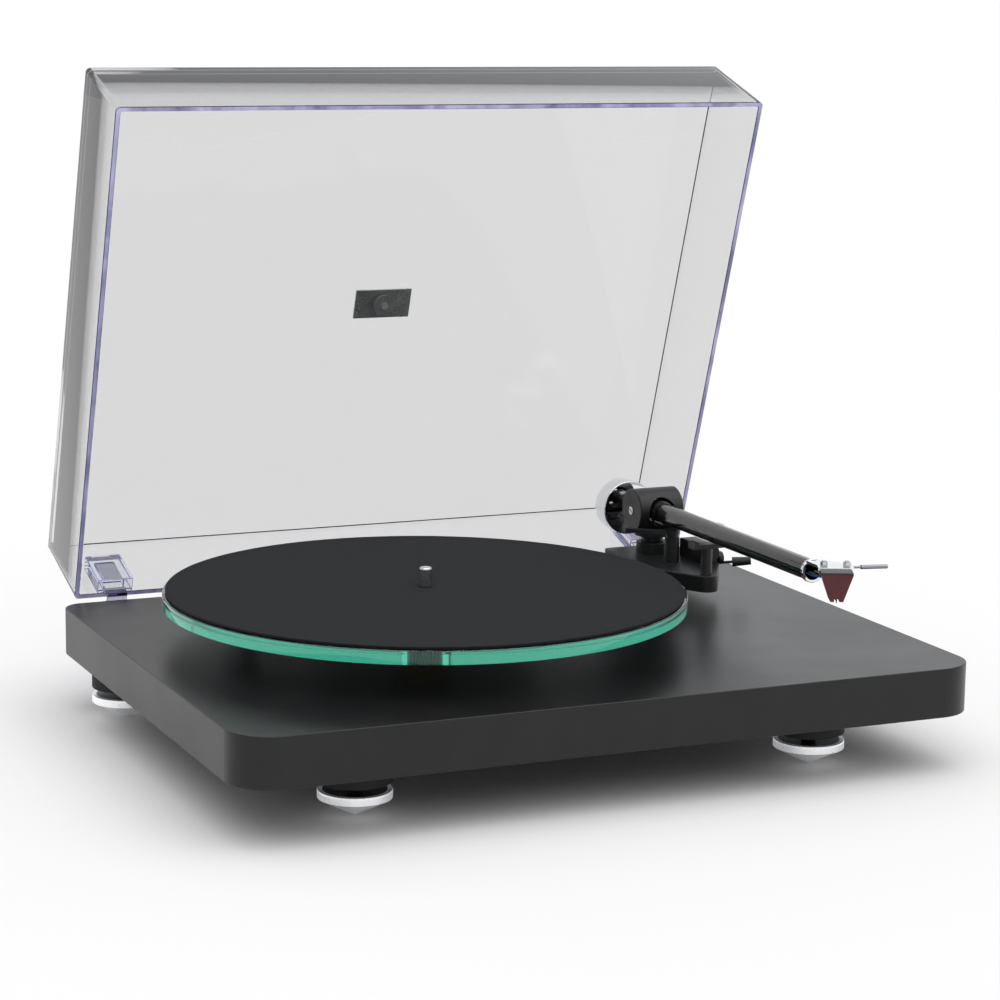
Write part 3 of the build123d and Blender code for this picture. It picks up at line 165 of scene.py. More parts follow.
# ---------------------------------------------------------------- material helpers
class Shader:
    """A material with a Principled shader, and short calls for the nodes that feed it."""

    def __init__(self, name, **values):
        self.mat = bpy.data.materials.new(name)
        self.mat.use_nodes = True
        self.tree = self.mat.node_tree
        self.tree.nodes.clear()
        self.out = self.node("ShaderNodeOutputMaterial")
        self.bsdf = self.node("ShaderNodeBsdfPrincipled")
        self.link(self.bsdf.outputs[0], self.out.inputs["Surface"])
        for key, value in values.items():
            self.set(key.replace("_", " "), value)
        self.coords = self.node("ShaderNodeTexCoord").outputs["Object"]

    def node(self, kind, **settings):
        made = self.tree.nodes.new(kind)
        for key, value in settings.items():
            setattr(made, key, value)
        return made

    def link(self, a, b):
        self.tree.links.new(a, b)

    def set(self, socket, value):
        names = {s.name.lower(): s for s in self.bsdf.inputs}
        target = names[socket.lower()]
        if hasattr(target.default_value, "__len__") and len(target.default_value) == 4 and len(value) == 3:
            value = (*value, 1)
        target.default_value = value

    def mapped(self, scale):
        mapping = self.node("ShaderNodeMapping")
        mapping.inputs["Scale"].default_value = scale
        self.link(self.coords, mapping.inputs["Vector"])
        return mapping.outputs[0]

    def noise(self, scale, detail=3, rough=0.55, stretch=(1, 1, 1), distortion=0):
        made = self.node("ShaderNodeTexNoise")
        made.inputs["Scale"].default_value = scale
        made.inputs["Detail"].default_value = detail
        made.inputs["Roughness"].default_value = rough
        made.inputs["Distortion"].default_value = distortion
        self.link(self.mapped(stretch), made.inputs["Vector"])
        return made.outputs["Fac"]

    def ramp(self, fac, low, high, colours):
        made = self.node("ShaderNodeValToRGB")
        stops = made.color_ramp.elements
        stops[0].position, stops[1].position = low, high
        stops[0].color = (*colours[0], 1)
        stops[1].color = (*colours[1], 1)
        self.link(fac, made.inputs[0])
        return made.outputs[0]

    def spread(self, fac, low, high, from_low=0.3, from_high=0.7):
        made = self.node("ShaderNodeMapRange")
        for key, value in zip(("From Min", "From Max", "To Min", "To Max"), (from_low, from_high, low, high)):
            made.inputs[key].default_value = value
        self.link(fac, made.inputs["Value"])
        return made.outputs[0]

    def math(self, operation, a, b=None):
        made = self.node("ShaderNodeMath", operation=operation)
        for socket, value in zip(made.inputs, (a, b)):
            if value is None:
                continue
            if isinstance(value, (int, float)):
                socket.default_value = value
            else:
                self.link(value, socket)
        return made.outputs[0]

    def colour(self, socket):
        self.link(socket, self.bsdf.inputs["Base Color"])

    def roughness(self, socket):
        self.link(socket, self.bsdf.inputs["Roughness"])

    def bump(self, height, strength, distance, normal=None):
        made = self.node("ShaderNodeBump")
        made.inputs["Strength"].default_value = strength
        made.inputs["Distance"].default_value = distance
        self.link(height, made.inputs["Height"])
        if normal:
            self.link(normal, made.inputs["Normal"])
        self.link(made.outputs[0], self.bsdf.inputs["Normal"])
        return made.outputs[0]

    def radius_about(self, x, y):
        """Distance from a vertical axis, for turning marks."""
        split = self.node("ShaderNodeSeparateXYZ")
        self.link(self.coords, split.inputs[0])
        dx = self.math("SUBTRACT", split.outputs[0], x)
        dy = self.math("SUBTRACT", split.outputs[1], y)
        squares = self.math("ADD", self.math("MULTIPLY", dx, dx), self.math("MULTIPLY", dy, dy))
        return self.math("SQRT", squares)

    def let_light_through(self, tint):
        """Lamps and bounced light pass as through a thin pane. Sight and reflections see real glass."""
        path = self.node("ShaderNodeLightPath")
        clear = self.node("ShaderNodeBsdfTransparent")
        clear.inputs[0].default_value = (*tint, 1)
        mix = self.node("ShaderNodeMixShader")
        passes = self.math("MAXIMUM", path.outputs["Is Shadow Ray"], path.outputs["Is Diffuse Ray"])
        self.link(passes, mix.inputs[0])
        self.link(self.bsdf.outputs[0], mix.inputs[1])
        self.link(clear.outputs[0], mix.inputs[2])
        self.link(mix.outputs[0], self.out.inputs["Surface"])

    def absorb(self, colour, density):
        made = self.node("ShaderNodeVolumeAbsorption")
        made.inputs["Color"].default_value = (*colour, 1)
        made.inputs["Density"].default_value = density
        self.link(made.outputs[0], self.out.inputs["Volume"])


# ---------------------------------------------------------------- materials
def lacquer():
    s = Shader("black_satin_lacquer", specular_ior_level=0.36)
    s.colour(s.ramp(s.noise(45, 2), 0.35, 0.65, ((0.0062, 0.0064, 0.0068), (0.0080, 0.0083, 0.0088))))
    s.roughness(s.spread(s.noise(18, 3), 0.29, 0.34))
    peel = s.bump(s.noise(700, 2), 0.05, 0.0002)
    s.bump(s.noise(4000, 1), 0.04, 0.00005, peel)
    return s.mat


def satin_metal(name="satin_black_metal", base=(0.0075, 0.0078, 0.0085), rough=0.38):
    s = Shader(name, specular_ior_level=0.38)
    s.colour(s.ramp(s.noise(260, 2), 0.35, 0.65, (base, tuple(c * 1.35 for c in base))))
    s.roughness(s.spread(s.noise(1200, 2), rough - 0.05, rough + 0.07))
    s.bump(s.noise(5200, 2), 0.16, 0.00004)
    return s.mat


def gloss_black():
    s = Shader("gloss_black_tube", coat_weight=0.6, coat_roughness=0.04)
    s.colour(s.ramp(s.noise(90, 2), 0.35, 0.65, ((0.008, 0.008, 0.009), (0.0115, 0.0115, 0.0125))))
    s.roughness(s.spread(s.noise(300, 3), 0.11, 0.18))
    s.bump(s.noise(260, 2), 0.02, 0.0002)
    return s.mat


def metal(name, base, rough, turned=None, marks=9000, strength=0.1, metallic=1, painted_glow=0):
    """Bare metal. turned is the (x, y) of a vertical lathe axis whose marks it shows."""
    # painted_glow is emission on a part that is no lamp: painted light.
    s = Shader(name, metallic=metallic, emission_color=(0.95, 0.97, 1), emission_strength=painted_glow)
    s.colour(s.ramp(s.noise(140, 2), 0.3, 0.7, (tuple(c * 0.94 for c in base), base)))
    s.roughness(s.spread(s.noise(700, 3), rough * 0.8, rough * 1.25))
    if turned:
        wave = s.math("SINE", s.math("MULTIPLY", s.radius_about(*turned), marks))
        s.bump(wave, strength, 0.00003)
    else:
        s.bump(s.noise(marks / 3, 2), strength * 0.4, 0.00003)
    return s.mat


def plastic(name, base, rough=0.5, grain=2600, depth=0.12, coat=0.0):
    s = Shader(name, coat_weight=coat, coat_roughness=0.08)
    darker, lighter = tuple(c * 0.85 for c in base), tuple(min(c * 1.15, 1) for c in base)
    s.colour(s.ramp(s.noise(200, 2), 0.35, 0.65, (darker, lighter)))
    s.roughness(s.spread(s.noise(900, 2), rough - 0.04, rough + 0.05))
    s.bump(s.noise(grain, 2), depth, 0.00006)
    return s.mat


def felt():
    s = Shader("black_wool_felt", sheen_weight=0.05, sheen_roughness=0.5, sheen_tint=(0.8, 0.85, 0.9),
               specular_ior_level=0.08)
    fibres = s.noise(2300, 4, 0.7, distortion=1.2)
    clumps = s.noise(420, 3, 0.6)
    both = s.math("ADD", s.math("MULTIPLY", fibres, 0.7), s.math("MULTIPLY", clumps, 0.3))
    s.colour(s.ramp(both, 0.36, 0.66, ((0.0043, 0.0045, 0.0046), (0.0175, 0.0180, 0.0185))))
    s.roughness(s.spread(clumps, 0.9, 1.0))
    s.bump(both, 0.75, 0.0006)
    return s.mat


def green_glass():
    s = Shader("green_float_glass", base_color=(0.9, 1.0, 0.96), roughness=0.0, ior=1.52, transmission_weight=1)
    s.absorb((0.03, 0.77, 0.64), 9.0)
    s.bump(s.noise(60, 1), 0.01, 0.0002)
    s.let_light_through((0.55, 0.85, 0.75))
    return s.mat


def acrylic(name="clear_acrylic", tint=(0.72, 0.72, 0.725), through=(0.9, 0.9, 0.91),
            stain=((0.2, 0.18, 0.7), 1.6)):
    s = Shader(name, base_color=tint, roughness=0.0, ior=1.49, transmission_weight=1,
               specular_tint=(0.45, 0.45, 0.45))
    s.absorb(*stain)
    s.roughness(s.spread(s.noise(12, 2), 0.0, 0.012))
    s.let_light_through(through)
    return s.mat


def painted_acrylic_edge(name, low, high, painted_glow, gloss=0.5):
    """An edge of the clear sheet made opaque. Its colour and glow are painted light for the light that runs
    inside the sheet; dark and without glow, they are painted shade.
    """
    s = Shader(name, specular_ior_level=gloss, emission_color=(0.62, 0.60, 1.0), emission_strength=painted_glow)
    s.colour(s.ramp(s.noise(60, 3, 0.6, stretch=(1, 1, 0.35)), 0.35, 0.65, (low, high)))
    s.roughness(s.spread(s.noise(400, 2), 0.12, 0.22))
    return s.mat


def ribbed_hub():
    """Smoked plastic with ribs about the spindle's axis."""
    s = Shader("ribbed_hub_plastic", coat_weight=0.2, coat_roughness=0.1)
    split = s.node("ShaderNodeSeparateXYZ")
    s.link(s.coords, split.inputs[0])
    angle = s.math("ARCTAN2", split.outputs[1], split.outputs[0])
    ribs = s.math("SINE", s.math("MULTIPLY", angle, 48))
    s.colour(s.ramp(s.spread(ribs, 0, 1, -1, 1), 0.35, 0.65, ((0.012, 0.03, 0.025), (0.16, 0.26, 0.22))))
    s.roughness(s.spread(s.noise(900, 2), 0.25, 0.35))
    s.bump(ribs, 0.4, 0.0003)
    return s.mat


def board():
    s = Shader("circuit_board", roughness=0.35)
    tracks = s.node("ShaderNodeTexBrick")
    tracks.inputs["Scale"].default_value = 220
    tracks.inputs["Color1"].default_value = (0.01, 0.10, 0.05, 1)
    tracks.inputs["Color2"].default_value = (0.015, 0.14, 0.07, 1)
    tracks.inputs["Mortar"].default_value = (0.10, 0.22, 0.08, 1)
    s.link(s.coords, tracks.inputs["Vector"])
    s.colour(tracks.outputs["Color"])
    s.bump(tracks.outputs["Fac"], 0.3, 0.0001)
    return s.mat


LACQUER = lacquer()
SATIN = satin_metal()
ARM_PLASTIC = plastic("arm_moulding_black", (0.016, 0.0165, 0.018), 0.42)
GLOSS = gloss_black()
CHROME = metal("chrome", (0.80, 0.81, 0.83), 0.045, marks=2400, strength=0.03)
STEEL = metal("polished_steel", (0.60, 0.61, 0.63), 0.2)
DARK_STEEL = metal("blackened_steel", (0.055, 0.055, 0.06), 0.35)
BRASS = metal("turned_brass", (0.83, 0.62, 0.26), 0.2)
MOTOR_METAL = metal("motor_can", (0.34, 0.34, 0.35), 0.38)
PULLEY = metal("turned_pulley", (0.74, 0.75, 0.77), 0.25, (-0.092, 0.062), 14000)
RUBBER = plastic("black_rubber", (0.011, 0.011, 0.012), 0.72, 1500, 0.25)
BELT = plastic("belt_rubber", (0.02, 0.02, 0.02), 0.62, 3000, 0.3)
BLACK_PLASTIC = plastic("textured_black_plastic", (0.018, 0.018, 0.02), 0.5, 1900, 0.35)
HUB = ribbed_hub()
FELT = felt()
GLASS = green_glass()
ACRYLIC = acrylic()
SOCKET_ACRYLIC = acrylic("socket_acrylic", (0.92, 0.94, 0.94), (0.93, 0.94, 0.94), ((0.4, 0.45, 0.6), 5.0))
TONGUE_ACRYLIC = acrylic("tongue_acrylic", (0.42, 0.43, 0.52), (0.8, 0.8, 0.85), ((0.2, 0.18, 0.6), 30.0))
# Painted glow: opaque bluish colour and emission on the cover's lower rim and the blocks' edges stand in for
# light carried inside the clear sheet.
RIM_PAINTED_GLOW = painted_acrylic_edge("acrylic_rim_painted_glow", (0.14, 0.14, 0.30), (0.50, 0.49, 0.74), 0.06)
# Painted shade: a near-black opaque band on the cover's top rounding stands in for the dark edge seen in clear
# acrylic.
CORNER_PAINTED_SHADE = painted_acrylic_edge("acrylic_corner_painted_shade", (0.006, 0.007, 0.02), (0.02, 0.022, 0.05), 0, 0.05)
BLOCK_EDGE_PAINTED_GLOW = painted_acrylic_edge("acrylic_block_edge_painted_glow", (0.10, 0.09, 0.34), (0.45, 0.44, 0.72), 0.05)
# The badge plate's small emission is a painted glow; the plate is no lamp.
BADGE = metal("dark_mirror_plate", (0.42, 0.45, 0.42), 0.3, marks=1500, strength=0.05, metallic=0.8,
              painted_glow=0.02)
SMOKED = plastic("smoked_ring", (0.10, 0.11, 0.11), 0.25, 900, 0.04, coat=0.5)
POLISHED = metal("polished_aluminium", (0.88, 0.89, 0.91), 0.12, marks=6000, strength=0.05)
GREY_METAL = metal("grey_rod", (0.32, 0.33, 0.36), 0.3)
CART_BLACK = plastic("cartridge_top_black", (0.008, 0.008, 0.009), 0.2, 900, 0.03, coat=0.4)
CART_RED = plastic("cartridge_red", (0.07, 0.002, 0.003), 0.3, 900, 0.03)
BOARD = board()

NODE_MATERIALS = {
    "plinth": LACQUER, "bottom_covers": BLACK_PLASTIC, "case_screws": DARK_STEEL, "bearing_housing": BRASS,
    "thrust_ball": STEEL, "spindle": STEEL, "sub_platter": HUB, "motor_case": MOTOR_METAL,
    "motor_shaft": STEEL,
    "motor_pulley": PULLEY, "drive_belt": BELT, "control_board": BOARD, "dc_inlet": BLACK_PLASTIC,
    "connector_plate": BLACK_PLASTIC, "phono_sockets": BRASS, "ground_terminal": BRASS,
    "switch_housing": BLACK_PLASTIC,
    "power_rocker": BLACK_PLASTIC, "foot_collars": RUBBER, "lid_badge": BADGE, "badge_ring": SMOKED,
    "hinge_pins": STEEL, "arm_base": SATIN, "arm_pillar": SATIN, "arm_nut": STEEL, "lift_column": SATIN,
    "lift_platform": SATIN, "lift_box": SATIN, "bias_knob": SATIN, "cue_lever": SATIN, "arm_rest": ARM_PLASTIC,
    "yaw_disc": SATIN, "bearing_barrel": SATIN, "pivot_screws": STEEL, "arm_tube": GLOSS,
    "head_ring": CHROME,
    "headshell": POLISHED, "finger_lift": GREY_METAL, "cartridge_body": CART_BLACK, "stylus_unit": CART_RED,
    "cartridge_screws": STEEL,
}
for side in ("left", "right"):
    NODE_MATERIALS[f"hinge_tongue_{side}"] = TONGUE_ACRYLIC
    NODE_MATERIALS[f"hinge_bracket_{side}"] = DARK_STEEL
FEET = ("front_left", "front_right", "rear_left", "rear_right")
for foot in FEET:
    NODE_MATERIALS[f"foot_stud_{foot}"] = DARK_STEEL
for name, mat in NODE_MATERIALS.items():
    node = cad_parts[name]
    node.data.materials.clear()
    node.data.materials.append(mat)


def centre(node):
    lo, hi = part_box(node)
    return (Vector(lo) + Vector(hi)) / 2


# ---------------------------------------------------------------- glass platter and felt mat
def bevelled_disc(r, bottom, top, bevel, hole, steps=4):
    """The section of a disc with rounded rims and a hole, as a closed ring profile."""
    section = [(hole, bottom)]
    for level, angles in ((bottom + bevel, range(-90, 1, 90 // steps)), (top - bevel, range(0, 91, 90 // steps))):
        for a in angles:
            out, rise = bevel * math.cos(math.radians(a)), bevel * math.sin(math.radians(a))
            section.append((r - bevel + out, level + rise))
    section.append((hole, top))
    return section


glass_lo, glass_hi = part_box("glass_platter")
GLASS_BEVEL, GLASS_HOLE = 0.7 * MM, 10.1 * MM
glass = lathe("glass_disc", bevelled_disc(glass_hi.x, glass_lo.z, glass_hi.z, GLASS_BEVEL, GLASS_HOLE),
              (0, 0, 0), mat=GLASS, segments=512, smooth=50)
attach(glass, "platter")
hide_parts("glass_platter")

mat_lo, mat_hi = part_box("felt_mat")
MAT_R, MAT_HOLE, MAT_ROUND, MAT_RINGS = mat_hi.x, 3.8 * MM, 0.5 * MM, 40
mat_bottom, edge_r = mat_lo.z + 0.05 * MM, MAT_R - MAT_ROUND
section = [(MAT_HOLE, mat_bottom), (MAT_R - 0.3 * MM, mat_bottom), (MAT_R, mat_lo.z + 0.4 * MM)]
for a in range(0, 91, 30):
    out, rise = MAT_ROUND * math.cos(math.radians(a)), MAT_ROUND * math.sin(math.radians(a))
    section.append((edge_r + out, mat_hi.z - MAT_ROUND + rise))
section += [(edge_r + (MAT_HOLE + 0.4 * MM - edge_r) * i / MAT_RINGS, mat_hi.z) for i in range(1, MAT_RINGS + 1)]
section += [(MAT_HOLE, mat_hi.z - 0.3 * MM)]
felt_mat = lathe("felt_slipmat", section, (0, 0, 0), mat=FELT, segments=360, smooth=60)
for v in felt_mat.data.vertices:
    if v.co.z > mat_lo.z + 0.2 * MM:
        soft = noise.noise(v.co * 45) * 0.05 * MM + noise.noise(v.co * 900) * 0.06 * MM
        v.co.z += min(soft - 0.06 * MM, 0)
    flat = Vector((v.co.x, v.co.y, 0))
    if flat.length > MAT_R - 0.2 * MM:
        v.co -= flat.normalized() * (0.12 * MM + 0.12 * MM * noise.noise(v.co * 700))
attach(felt_mat, "platter")
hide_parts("felt_mat")


# ---------------------------------------------------------------- dust cover
def lid_point(x, y, z):
    """A point of the closed cover, measured from the hinge axis, where it is with the cover open."""
    s, c = math.sin(OPEN), math.cos(OPEN)
    return Vector((x, HINGE.y + y * c + z * s, HINGE.z - y * s + z * c))


WALL = 3 * MM
BACK, FRONT = -2.7 * MM, -318.7 * MM
RIM, TOP = 7.8 * MM, 71.3 * MM


def lid_ring(inset, height, radius):
    pts = rounded_rect(LID_X0 + inset, FRONT + inset, LID_X1 - inset, BACK - inset, radius, 6)
    return [lid_point(x, y, height) for x, y in pts]


outer_r, inner_r, round_r = 3 * MM, 1 * MM, 1.5 * MM
rings_lid = [lid_ring(0.35 * MM, RIM, outer_r - 0.35 * MM), lid_ring(0, RIM + 0.35 * MM, outer_r)]
round_from = len(rings_lid)
for a in range(0, 91, 15):
    inset = round_r * (1 - math.cos(math.radians(a)))
    rings_lid.append(lid_ring(inset, TOP - round_r + round_r * math.sin(math.radians(a)), outer_r - inset))
outer_count = len(rings_lid)
inner = []
fillet_r = 0.8 * MM
for a in range(90, -1, -30):
    inset = WALL + fillet_r * (1 - math.cos(math.radians(a)))
    height = TOP - WALL - fillet_r + fillet_r * math.sin(math.radians(a))
    inner.append(lid_ring(inset, height, inner_r - (inset - WALL)))
inner += [lid_ring(WALL, RIM + 0.35 * MM, inner_r), lid_ring(WALL - 0.35 * MM, RIM, inner_r + 0.35 * MM)]
n = len(rings_lid[0])
verts = [p for ring in rings_lid + inner for p in ring]
faces = []
for i in range(len(rings_lid) - 1):
    for j in range(n):
        k = (j + 1) % n
        faces.append((i * n + j, i * n + k, (i + 1) * n + k, (i + 1) * n + j))
faces.append(tuple(range((outer_count - 1) * n, outer_count * n)))
base = outer_count * n
faces.append(tuple(range(base + n - 1, base - 1, -1)))
for i in range(len(inner) - 1):
    for j in range(n):
        k = (j + 1) % n
        faces.append((base + i * n + j, base + i * n + k, base + (i + 1) * n + k, base + (i + 1) * n + j))
last = base + (len(inner) - 1) * n
rim_from = len(faces)
for j in range(n):
    k = (j + 1) % n
    faces.append((last + j, last + k, k, j))
cover = new_object("acrylic_cover", verts, faces, ACRYLIC, smooth=40)
cover.data.materials.append(RIM_PAINTED_GLOW)
cover.data.materials.append(CORNER_PAINTED_SHADE)
# The cover's lower rim faces take the painted glow material.
for polygon in cover.data.polygons[rim_from:]:
    polygon.material_index = 1
# The top rounding's faces take the painted dark band.
for polygon in cover.data.polygons[round_from * n:(outer_count - 1) * n]:
    polygon.material_index = 2
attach(cover, "lid")
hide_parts("lid")


def socket_block(side):
    """The clear block glued inside the cover's rear wall, with the slot for the hinge's tongue."""
    lo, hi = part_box(f"hinge_socket_{side}")
    x = (lo.x + hi.x) / 2
    y1, y0 = -5.75 * MM, -14.7 * MM
    z0, z1 = RIM + 0.05 * MM, RIM + 30 * MM
    half, slot_half, slot_depth, slot_top = 11 * MM, 6.1 * MM, 2.7 * MM, RIM + 26 * MM
    profile = [(-half, y0), (half, y0), (half, y1), (slot_half, y1), (slot_half, y1 - slot_depth),
               (-slot_half, y1 - slot_depth), (-slot_half, y1), (-half, y1)]
    v = [lid_point(x + a, b, z0) for a, b in profile]
    v += [lid_point(x + a, b, slot_top) for a, b in profile]
    v += [lid_point(x + a, b, z1) for a, b in ((-half, y0), (half, y0), (half, y1), (-half, y1))]
    f = [(7, 6, 5, 4, 3, 2, 1, 0)]
    f += [(i, i + 1, i + 9, i + 8) for i in range(2, 7)]
    f += [(11, 12, 13, 14)]
    f += [(0, 1, 9, 17, 16, 8), (1, 2, 10, 18, 17, 9), (7, 0, 8, 16, 19, 15), (10, 11, 14, 15, 19, 18)]
    f += [(16, 17, 18, 19)]
    block = new_object(f"socket_block_{side}", v, f, SOCKET_ACRYLIC, smooth=20)
    # The bevelled edges take the painted glow material.
    block.data.materials.append(BLOCK_EDGE_PAINTED_GLOW)
    mod = block.modifiers.new("edge", "BEVEL")
    mod.material = 1
    mod.width = 0.45 * MM
    mod.segments = 2
    mod.limit_method = "ANGLE"
    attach(block, "lid")
    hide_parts(f"hinge_socket_{side}")


for side in ("left", "right"):
    socket_block(side)


# ---------------------------------------------------------------- feet
FOOT_R, TIP_R = 20 * MM, 2 * MM
for foot in FEET:
    c = centre(f"foot_cone_{foot}")
    lo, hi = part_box(f"foot_cone_{foot}")
    z0, z1 = lo.z, hi.z
    shoulder = z0 + 9.2 * MM
    # Painted light: the cone material carries a small emission and the rim material a stronger one, a painted
    # highlight on the turned aluminium rim.
    aluminium = metal(f"turned_aluminium_painted_glow_{foot}", (0.93, 0.94, 0.95), 0.3, (c.x, c.y), 5200, 0.22, 0.8, 0.05)
    painted_highlight_rim_metal = metal(f"rim_painted_highlight_{foot}", (0.93, 0.94, 0.95), 0.3, None, 5200, 0.1, 0.6, 0.32)
    profile = [(0, z0), (TIP_R - 0.4 * MM, z0), (TIP_R, z0 + 0.25 * MM)]
    for i in range(1, 25):
        t = i / 24
        groove = 0.05 * MM * (i % 2)
        height = z0 + 0.25 * MM + (shoulder - z0 - 0.45 * MM) * t + groove
        profile.append((TIP_R + (FOOT_R - 0.9 * MM - TIP_R) * t, height))
    profile += [(FOOT_R - 0.25 * MM, shoulder + 0.1 * MM), (FOOT_R, shoulder + 0.45 * MM)]
    for i in range(1, 6):
        h = shoulder + 0.45 * MM + (z1 - shoulder - 1.1 * MM) * i / 6
        profile += [(FOOT_R, h - 0.05 * MM), (FOOT_R - 0.05 * MM, h), (FOOT_R, h + 0.05 * MM)]
    profile += [(FOOT_R, z1 - 0.65 * MM), (FOOT_R - 0.2 * MM, z1 - 0.15 * MM), (FOOT_R - 0.65 * MM, z1),
                (17.5 * MM, z1), (17.5 * MM, z1 - 1 * MM), (0, z1 - 1 * MM)]
    disc = lathe(f"foot_disc_{foot}", profile, (c.x, c.y, 0), mat=aluminium, segments=128, smooth=25)
    disc.data.materials.append(painted_highlight_rim_metal)
    # Faces of the upright rim take the painted highlight material.
    for polygon in disc.data.polygons:
        if abs(polygon.normal.z) < 0.5 and polygon.center.z > shoulder:
            polygon.material_index = 1
    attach(disc, f"foot_{foot}")
    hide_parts(f"foot_cone_{foot}")


# ---------------------------------------------------------------- counterweight
w_lo, w_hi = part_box("counterweight")
wc = centre("counterweight")
W_R, W_BORE, W_ROUND, W_CHAMFER = (w_hi.x - w_lo.x) / 2, 5.05 * MM, 0.7 * MM, 0.3 * MM


def weight_ring(axis, y, r):
    """A ring of the weight about the drum's axis or about the bore's, which is higher."""
    pts = []
    for j in range(160):
        a = 2 * math.pi * j / 160
        pts.append(Vector((axis.x + r * math.cos(a), y, axis.z + r * math.sin(a))))
    return pts


flat_r = W_R - W_ROUND
weight_rings = [weight_ring(PIVOT, w_lo.y + W_CHAMFER, W_BORE), weight_ring(PIVOT, w_lo.y, W_BORE + W_CHAMFER)]
weight_rings.append(weight_ring(wc, w_lo.y, flat_r))
for face, way, angles in ((w_lo.y, 1, (30, 60, 90)), (w_hi.y, -1, (90, 60, 30))):
    for a in angles:
        inward = W_ROUND * (1 - math.cos(math.radians(a)))
        weight_rings.append(weight_ring(wc, face + way * inward, flat_r + W_ROUND * math.sin(math.radians(a))))
weight_rings.append(weight_ring(wc, w_hi.y, flat_r))
weight_rings += [weight_ring(PIVOT, w_hi.y, W_BORE + W_CHAMFER), weight_ring(PIVOT, w_hi.y - W_CHAMFER, W_BORE)]
weight = closed_loft("counterweight_drum", weight_rings, CHROME, smooth=30)
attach(weight, "counterweight")
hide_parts("counterweight")

# ---------------------------------------------------------------- headshell leads
LEADS = (("blue", (0.02, 0.08, 0.45)), ("green", (0.03, 0.30, 0.10)), ("red", (0.50, 0.02, 0.02)),
         ("white", (0.75, 0.75, 0.72)))
STYLUS = Vector((PIVOT.x - 0.8 * MM, PIVOT.y - 225.3 * MM, 0))
TURN = math.radians(24)


def head_point(x, y, z):
    """A point in the cartridge's own directions, from the stylus, at a height over the mat."""
    return Vector((STYLUS.x + x * math.cos(TURN) + y * math.sin(TURN),
                   STYLUS.y - x * math.sin(TURN) + y * math.cos(TURN), z))


ring_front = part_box("head_ring")[0].y
for i, (name, colour) in enumerate(LEADS):
    row = i - 1.5
    start = Vector((PIVOT.x + 1.9 * row * MM, ring_front + 3 * MM, PIVOT.z - 1.5 * MM + 0.6 * (i % 2) * MM))
    pin = head_point(1.9 * row * MM, 15.6 * MM, 17.4 * MM)
    end = head_point(1.9 * row * MM, 18.4 * MM, 17.4 * MM)
    middle = (start + end) / 2 - Vector((0, 0, (1.5 + 0.5 * (i % 3)) * MM)) + Vector((0.6 * row * MM, 0, 0))
    wire = plastic(f"lead_{name}_sleeve", colour, 0.35, 2600, 0.05)
    lead = tube_along(f"lead_{name}", [start, middle, end, pin], 0.5 * MM, wire)
    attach(lead, "arm")
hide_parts("headshell_leads")


# ---------------------------------------------------------------- floor, light, camera
def studio_floor():
    s = Shader("studio_floor", specular_ior_level=0.0)
    s.colour(s.ramp(s.noise(3, 2), 0.3, 0.7, ((0.751, 0.742, 0.737), (0.755, 0.746, 0.741))))
    s.roughness(s.spread(s.noise(40, 2), 0.95, 1.0))
    return s.mat


FLOOR_HALF = 40
floor_corners = [(x * FLOOR_HALF, y * FLOOR_HALF, FLOOR_Z) for x, y in ((-1, -1), (1, -1), (1, 1), (-1, 1))]
floor = new_object("studio_floor", floor_corners, [(0, 1, 2, 3)], studio_floor())

world = bpy.data.worlds.new("studio")
bpy.context.scene.world = world
world.use_nodes = True
tree = world.node_tree
tree.nodes.clear()
out = tree.nodes.new("ShaderNodeOutputWorld")
seen = tree.nodes.new("ShaderNodeBackground")
seen.inputs["Color"].default_value = (1, 1, 1, 1)
seen.inputs["Strength"].default_value = 1.0
room = tree.nodes.new("ShaderNodeBackground")
mix = tree.nodes.new("ShaderNodeMixShader")
path = tree.nodes.new("ShaderNodeLightPath")
coords = tree.nodes.new("ShaderNodeTexCoord")
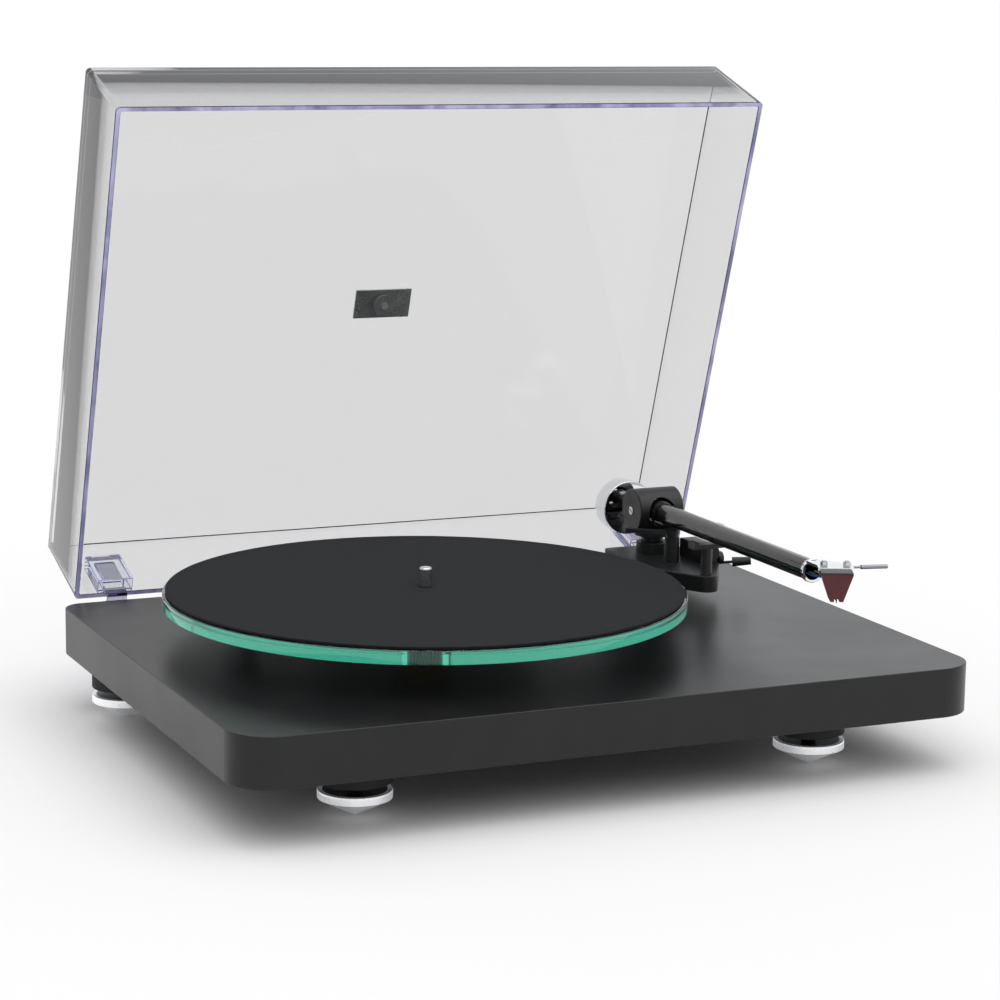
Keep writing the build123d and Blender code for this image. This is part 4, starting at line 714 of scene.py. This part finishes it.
# The room is brighter above, towards the back and towards the right.
ramp = tree.nodes.new("ShaderNodeMapRange")
either = tree.nodes.new("ShaderNodeMath")
either.operation = "MAXIMUM"
lean = tree.nodes.new("ShaderNodeVectorMath")
lean.operation = "DOT_PRODUCT"
lean.inputs[1].default_value = (0.4, 0.8, 1)
tree.links.new(coords.outputs["Generated"], lean.inputs[0])
tree.links.new(lean.outputs["Value"], ramp.inputs["Value"])
for key, value in (("From Min", -0.8), ("From Max", 1.0), ("To Min", 0.3), ("To Max", 0.98)):
    ramp.inputs[key].default_value = value
mirrored = tree.nodes.new("ShaderNodeMath")
mirrored.operation = "MULTIPLY"
mirrored.inputs[1].default_value = 0.5
brighter = tree.nodes.new("ShaderNodeMath")
brighter.operation = "MAXIMUM"
tree.links.new(path.outputs["Is Glossy Ray"], mirrored.inputs[0])
tree.links.new(mirrored.outputs[0], brighter.inputs[0])
tree.links.new(ramp.outputs[0], brighter.inputs[1])
tree.links.new(brighter.outputs[0], room.inputs["Strength"])
room.inputs["Color"].default_value = (0.97, 0.985, 1, 1)
tree.links.new(path.outputs["Is Camera Ray"], either.inputs[0])
tree.links.new(path.outputs["Is Transmission Ray"], either.inputs[1])
tree.links.new(either.outputs[0], mix.inputs[0])
tree.links.new(room.outputs[0], mix.inputs[1])
tree.links.new(seen.outputs[0], mix.inputs[2])
tree.links.new(mix.outputs[0], out.inputs["Surface"])


def sun(name, direction, strength, angle):
    lamp = bpy.data.lights.new(name, "SUN")
    lamp.energy = strength
    lamp.angle = math.radians(angle)
    obj = bpy.data.objects.new(name, lamp)
    obj.rotation_mode = "QUATERNION"
    obj.rotation_quaternion = Vector(direction).to_track_quat("-Z", "Y")
    bpy.context.scene.collection.objects.link(obj)


sun("overhead_soft", (-0.05, 0.4, -1), 1.8, 90)

bpy.context.scene.view_settings.view_transform = "Standard"

camera = bpy.data.cameras.new("photo_camera")
camera.lens, camera.sensor_width = 103.3, 36
camera.clip_start = 0.05
camera.clip_end = 60
camera_object = bpy.data.objects.new("photo_camera", camera)
right = Vector((0.91296, -0.40782, 0.01369))
up = Vector((0.06258, 0.17308, 0.98292))
back = Vector((-0.40323, -0.89651, 0.18354))
turn = Matrix((right, up, back)).transposed()
CAMERA_AT = (-0.62047, -1.48171, 0.35076)
camera_object.matrix_world = Matrix.Translation(CAMERA_AT) @ turn.to_4x4()
bpy.context.scene.collection.objects.link(camera_object)
bpy.context.scene.camera = camera_object
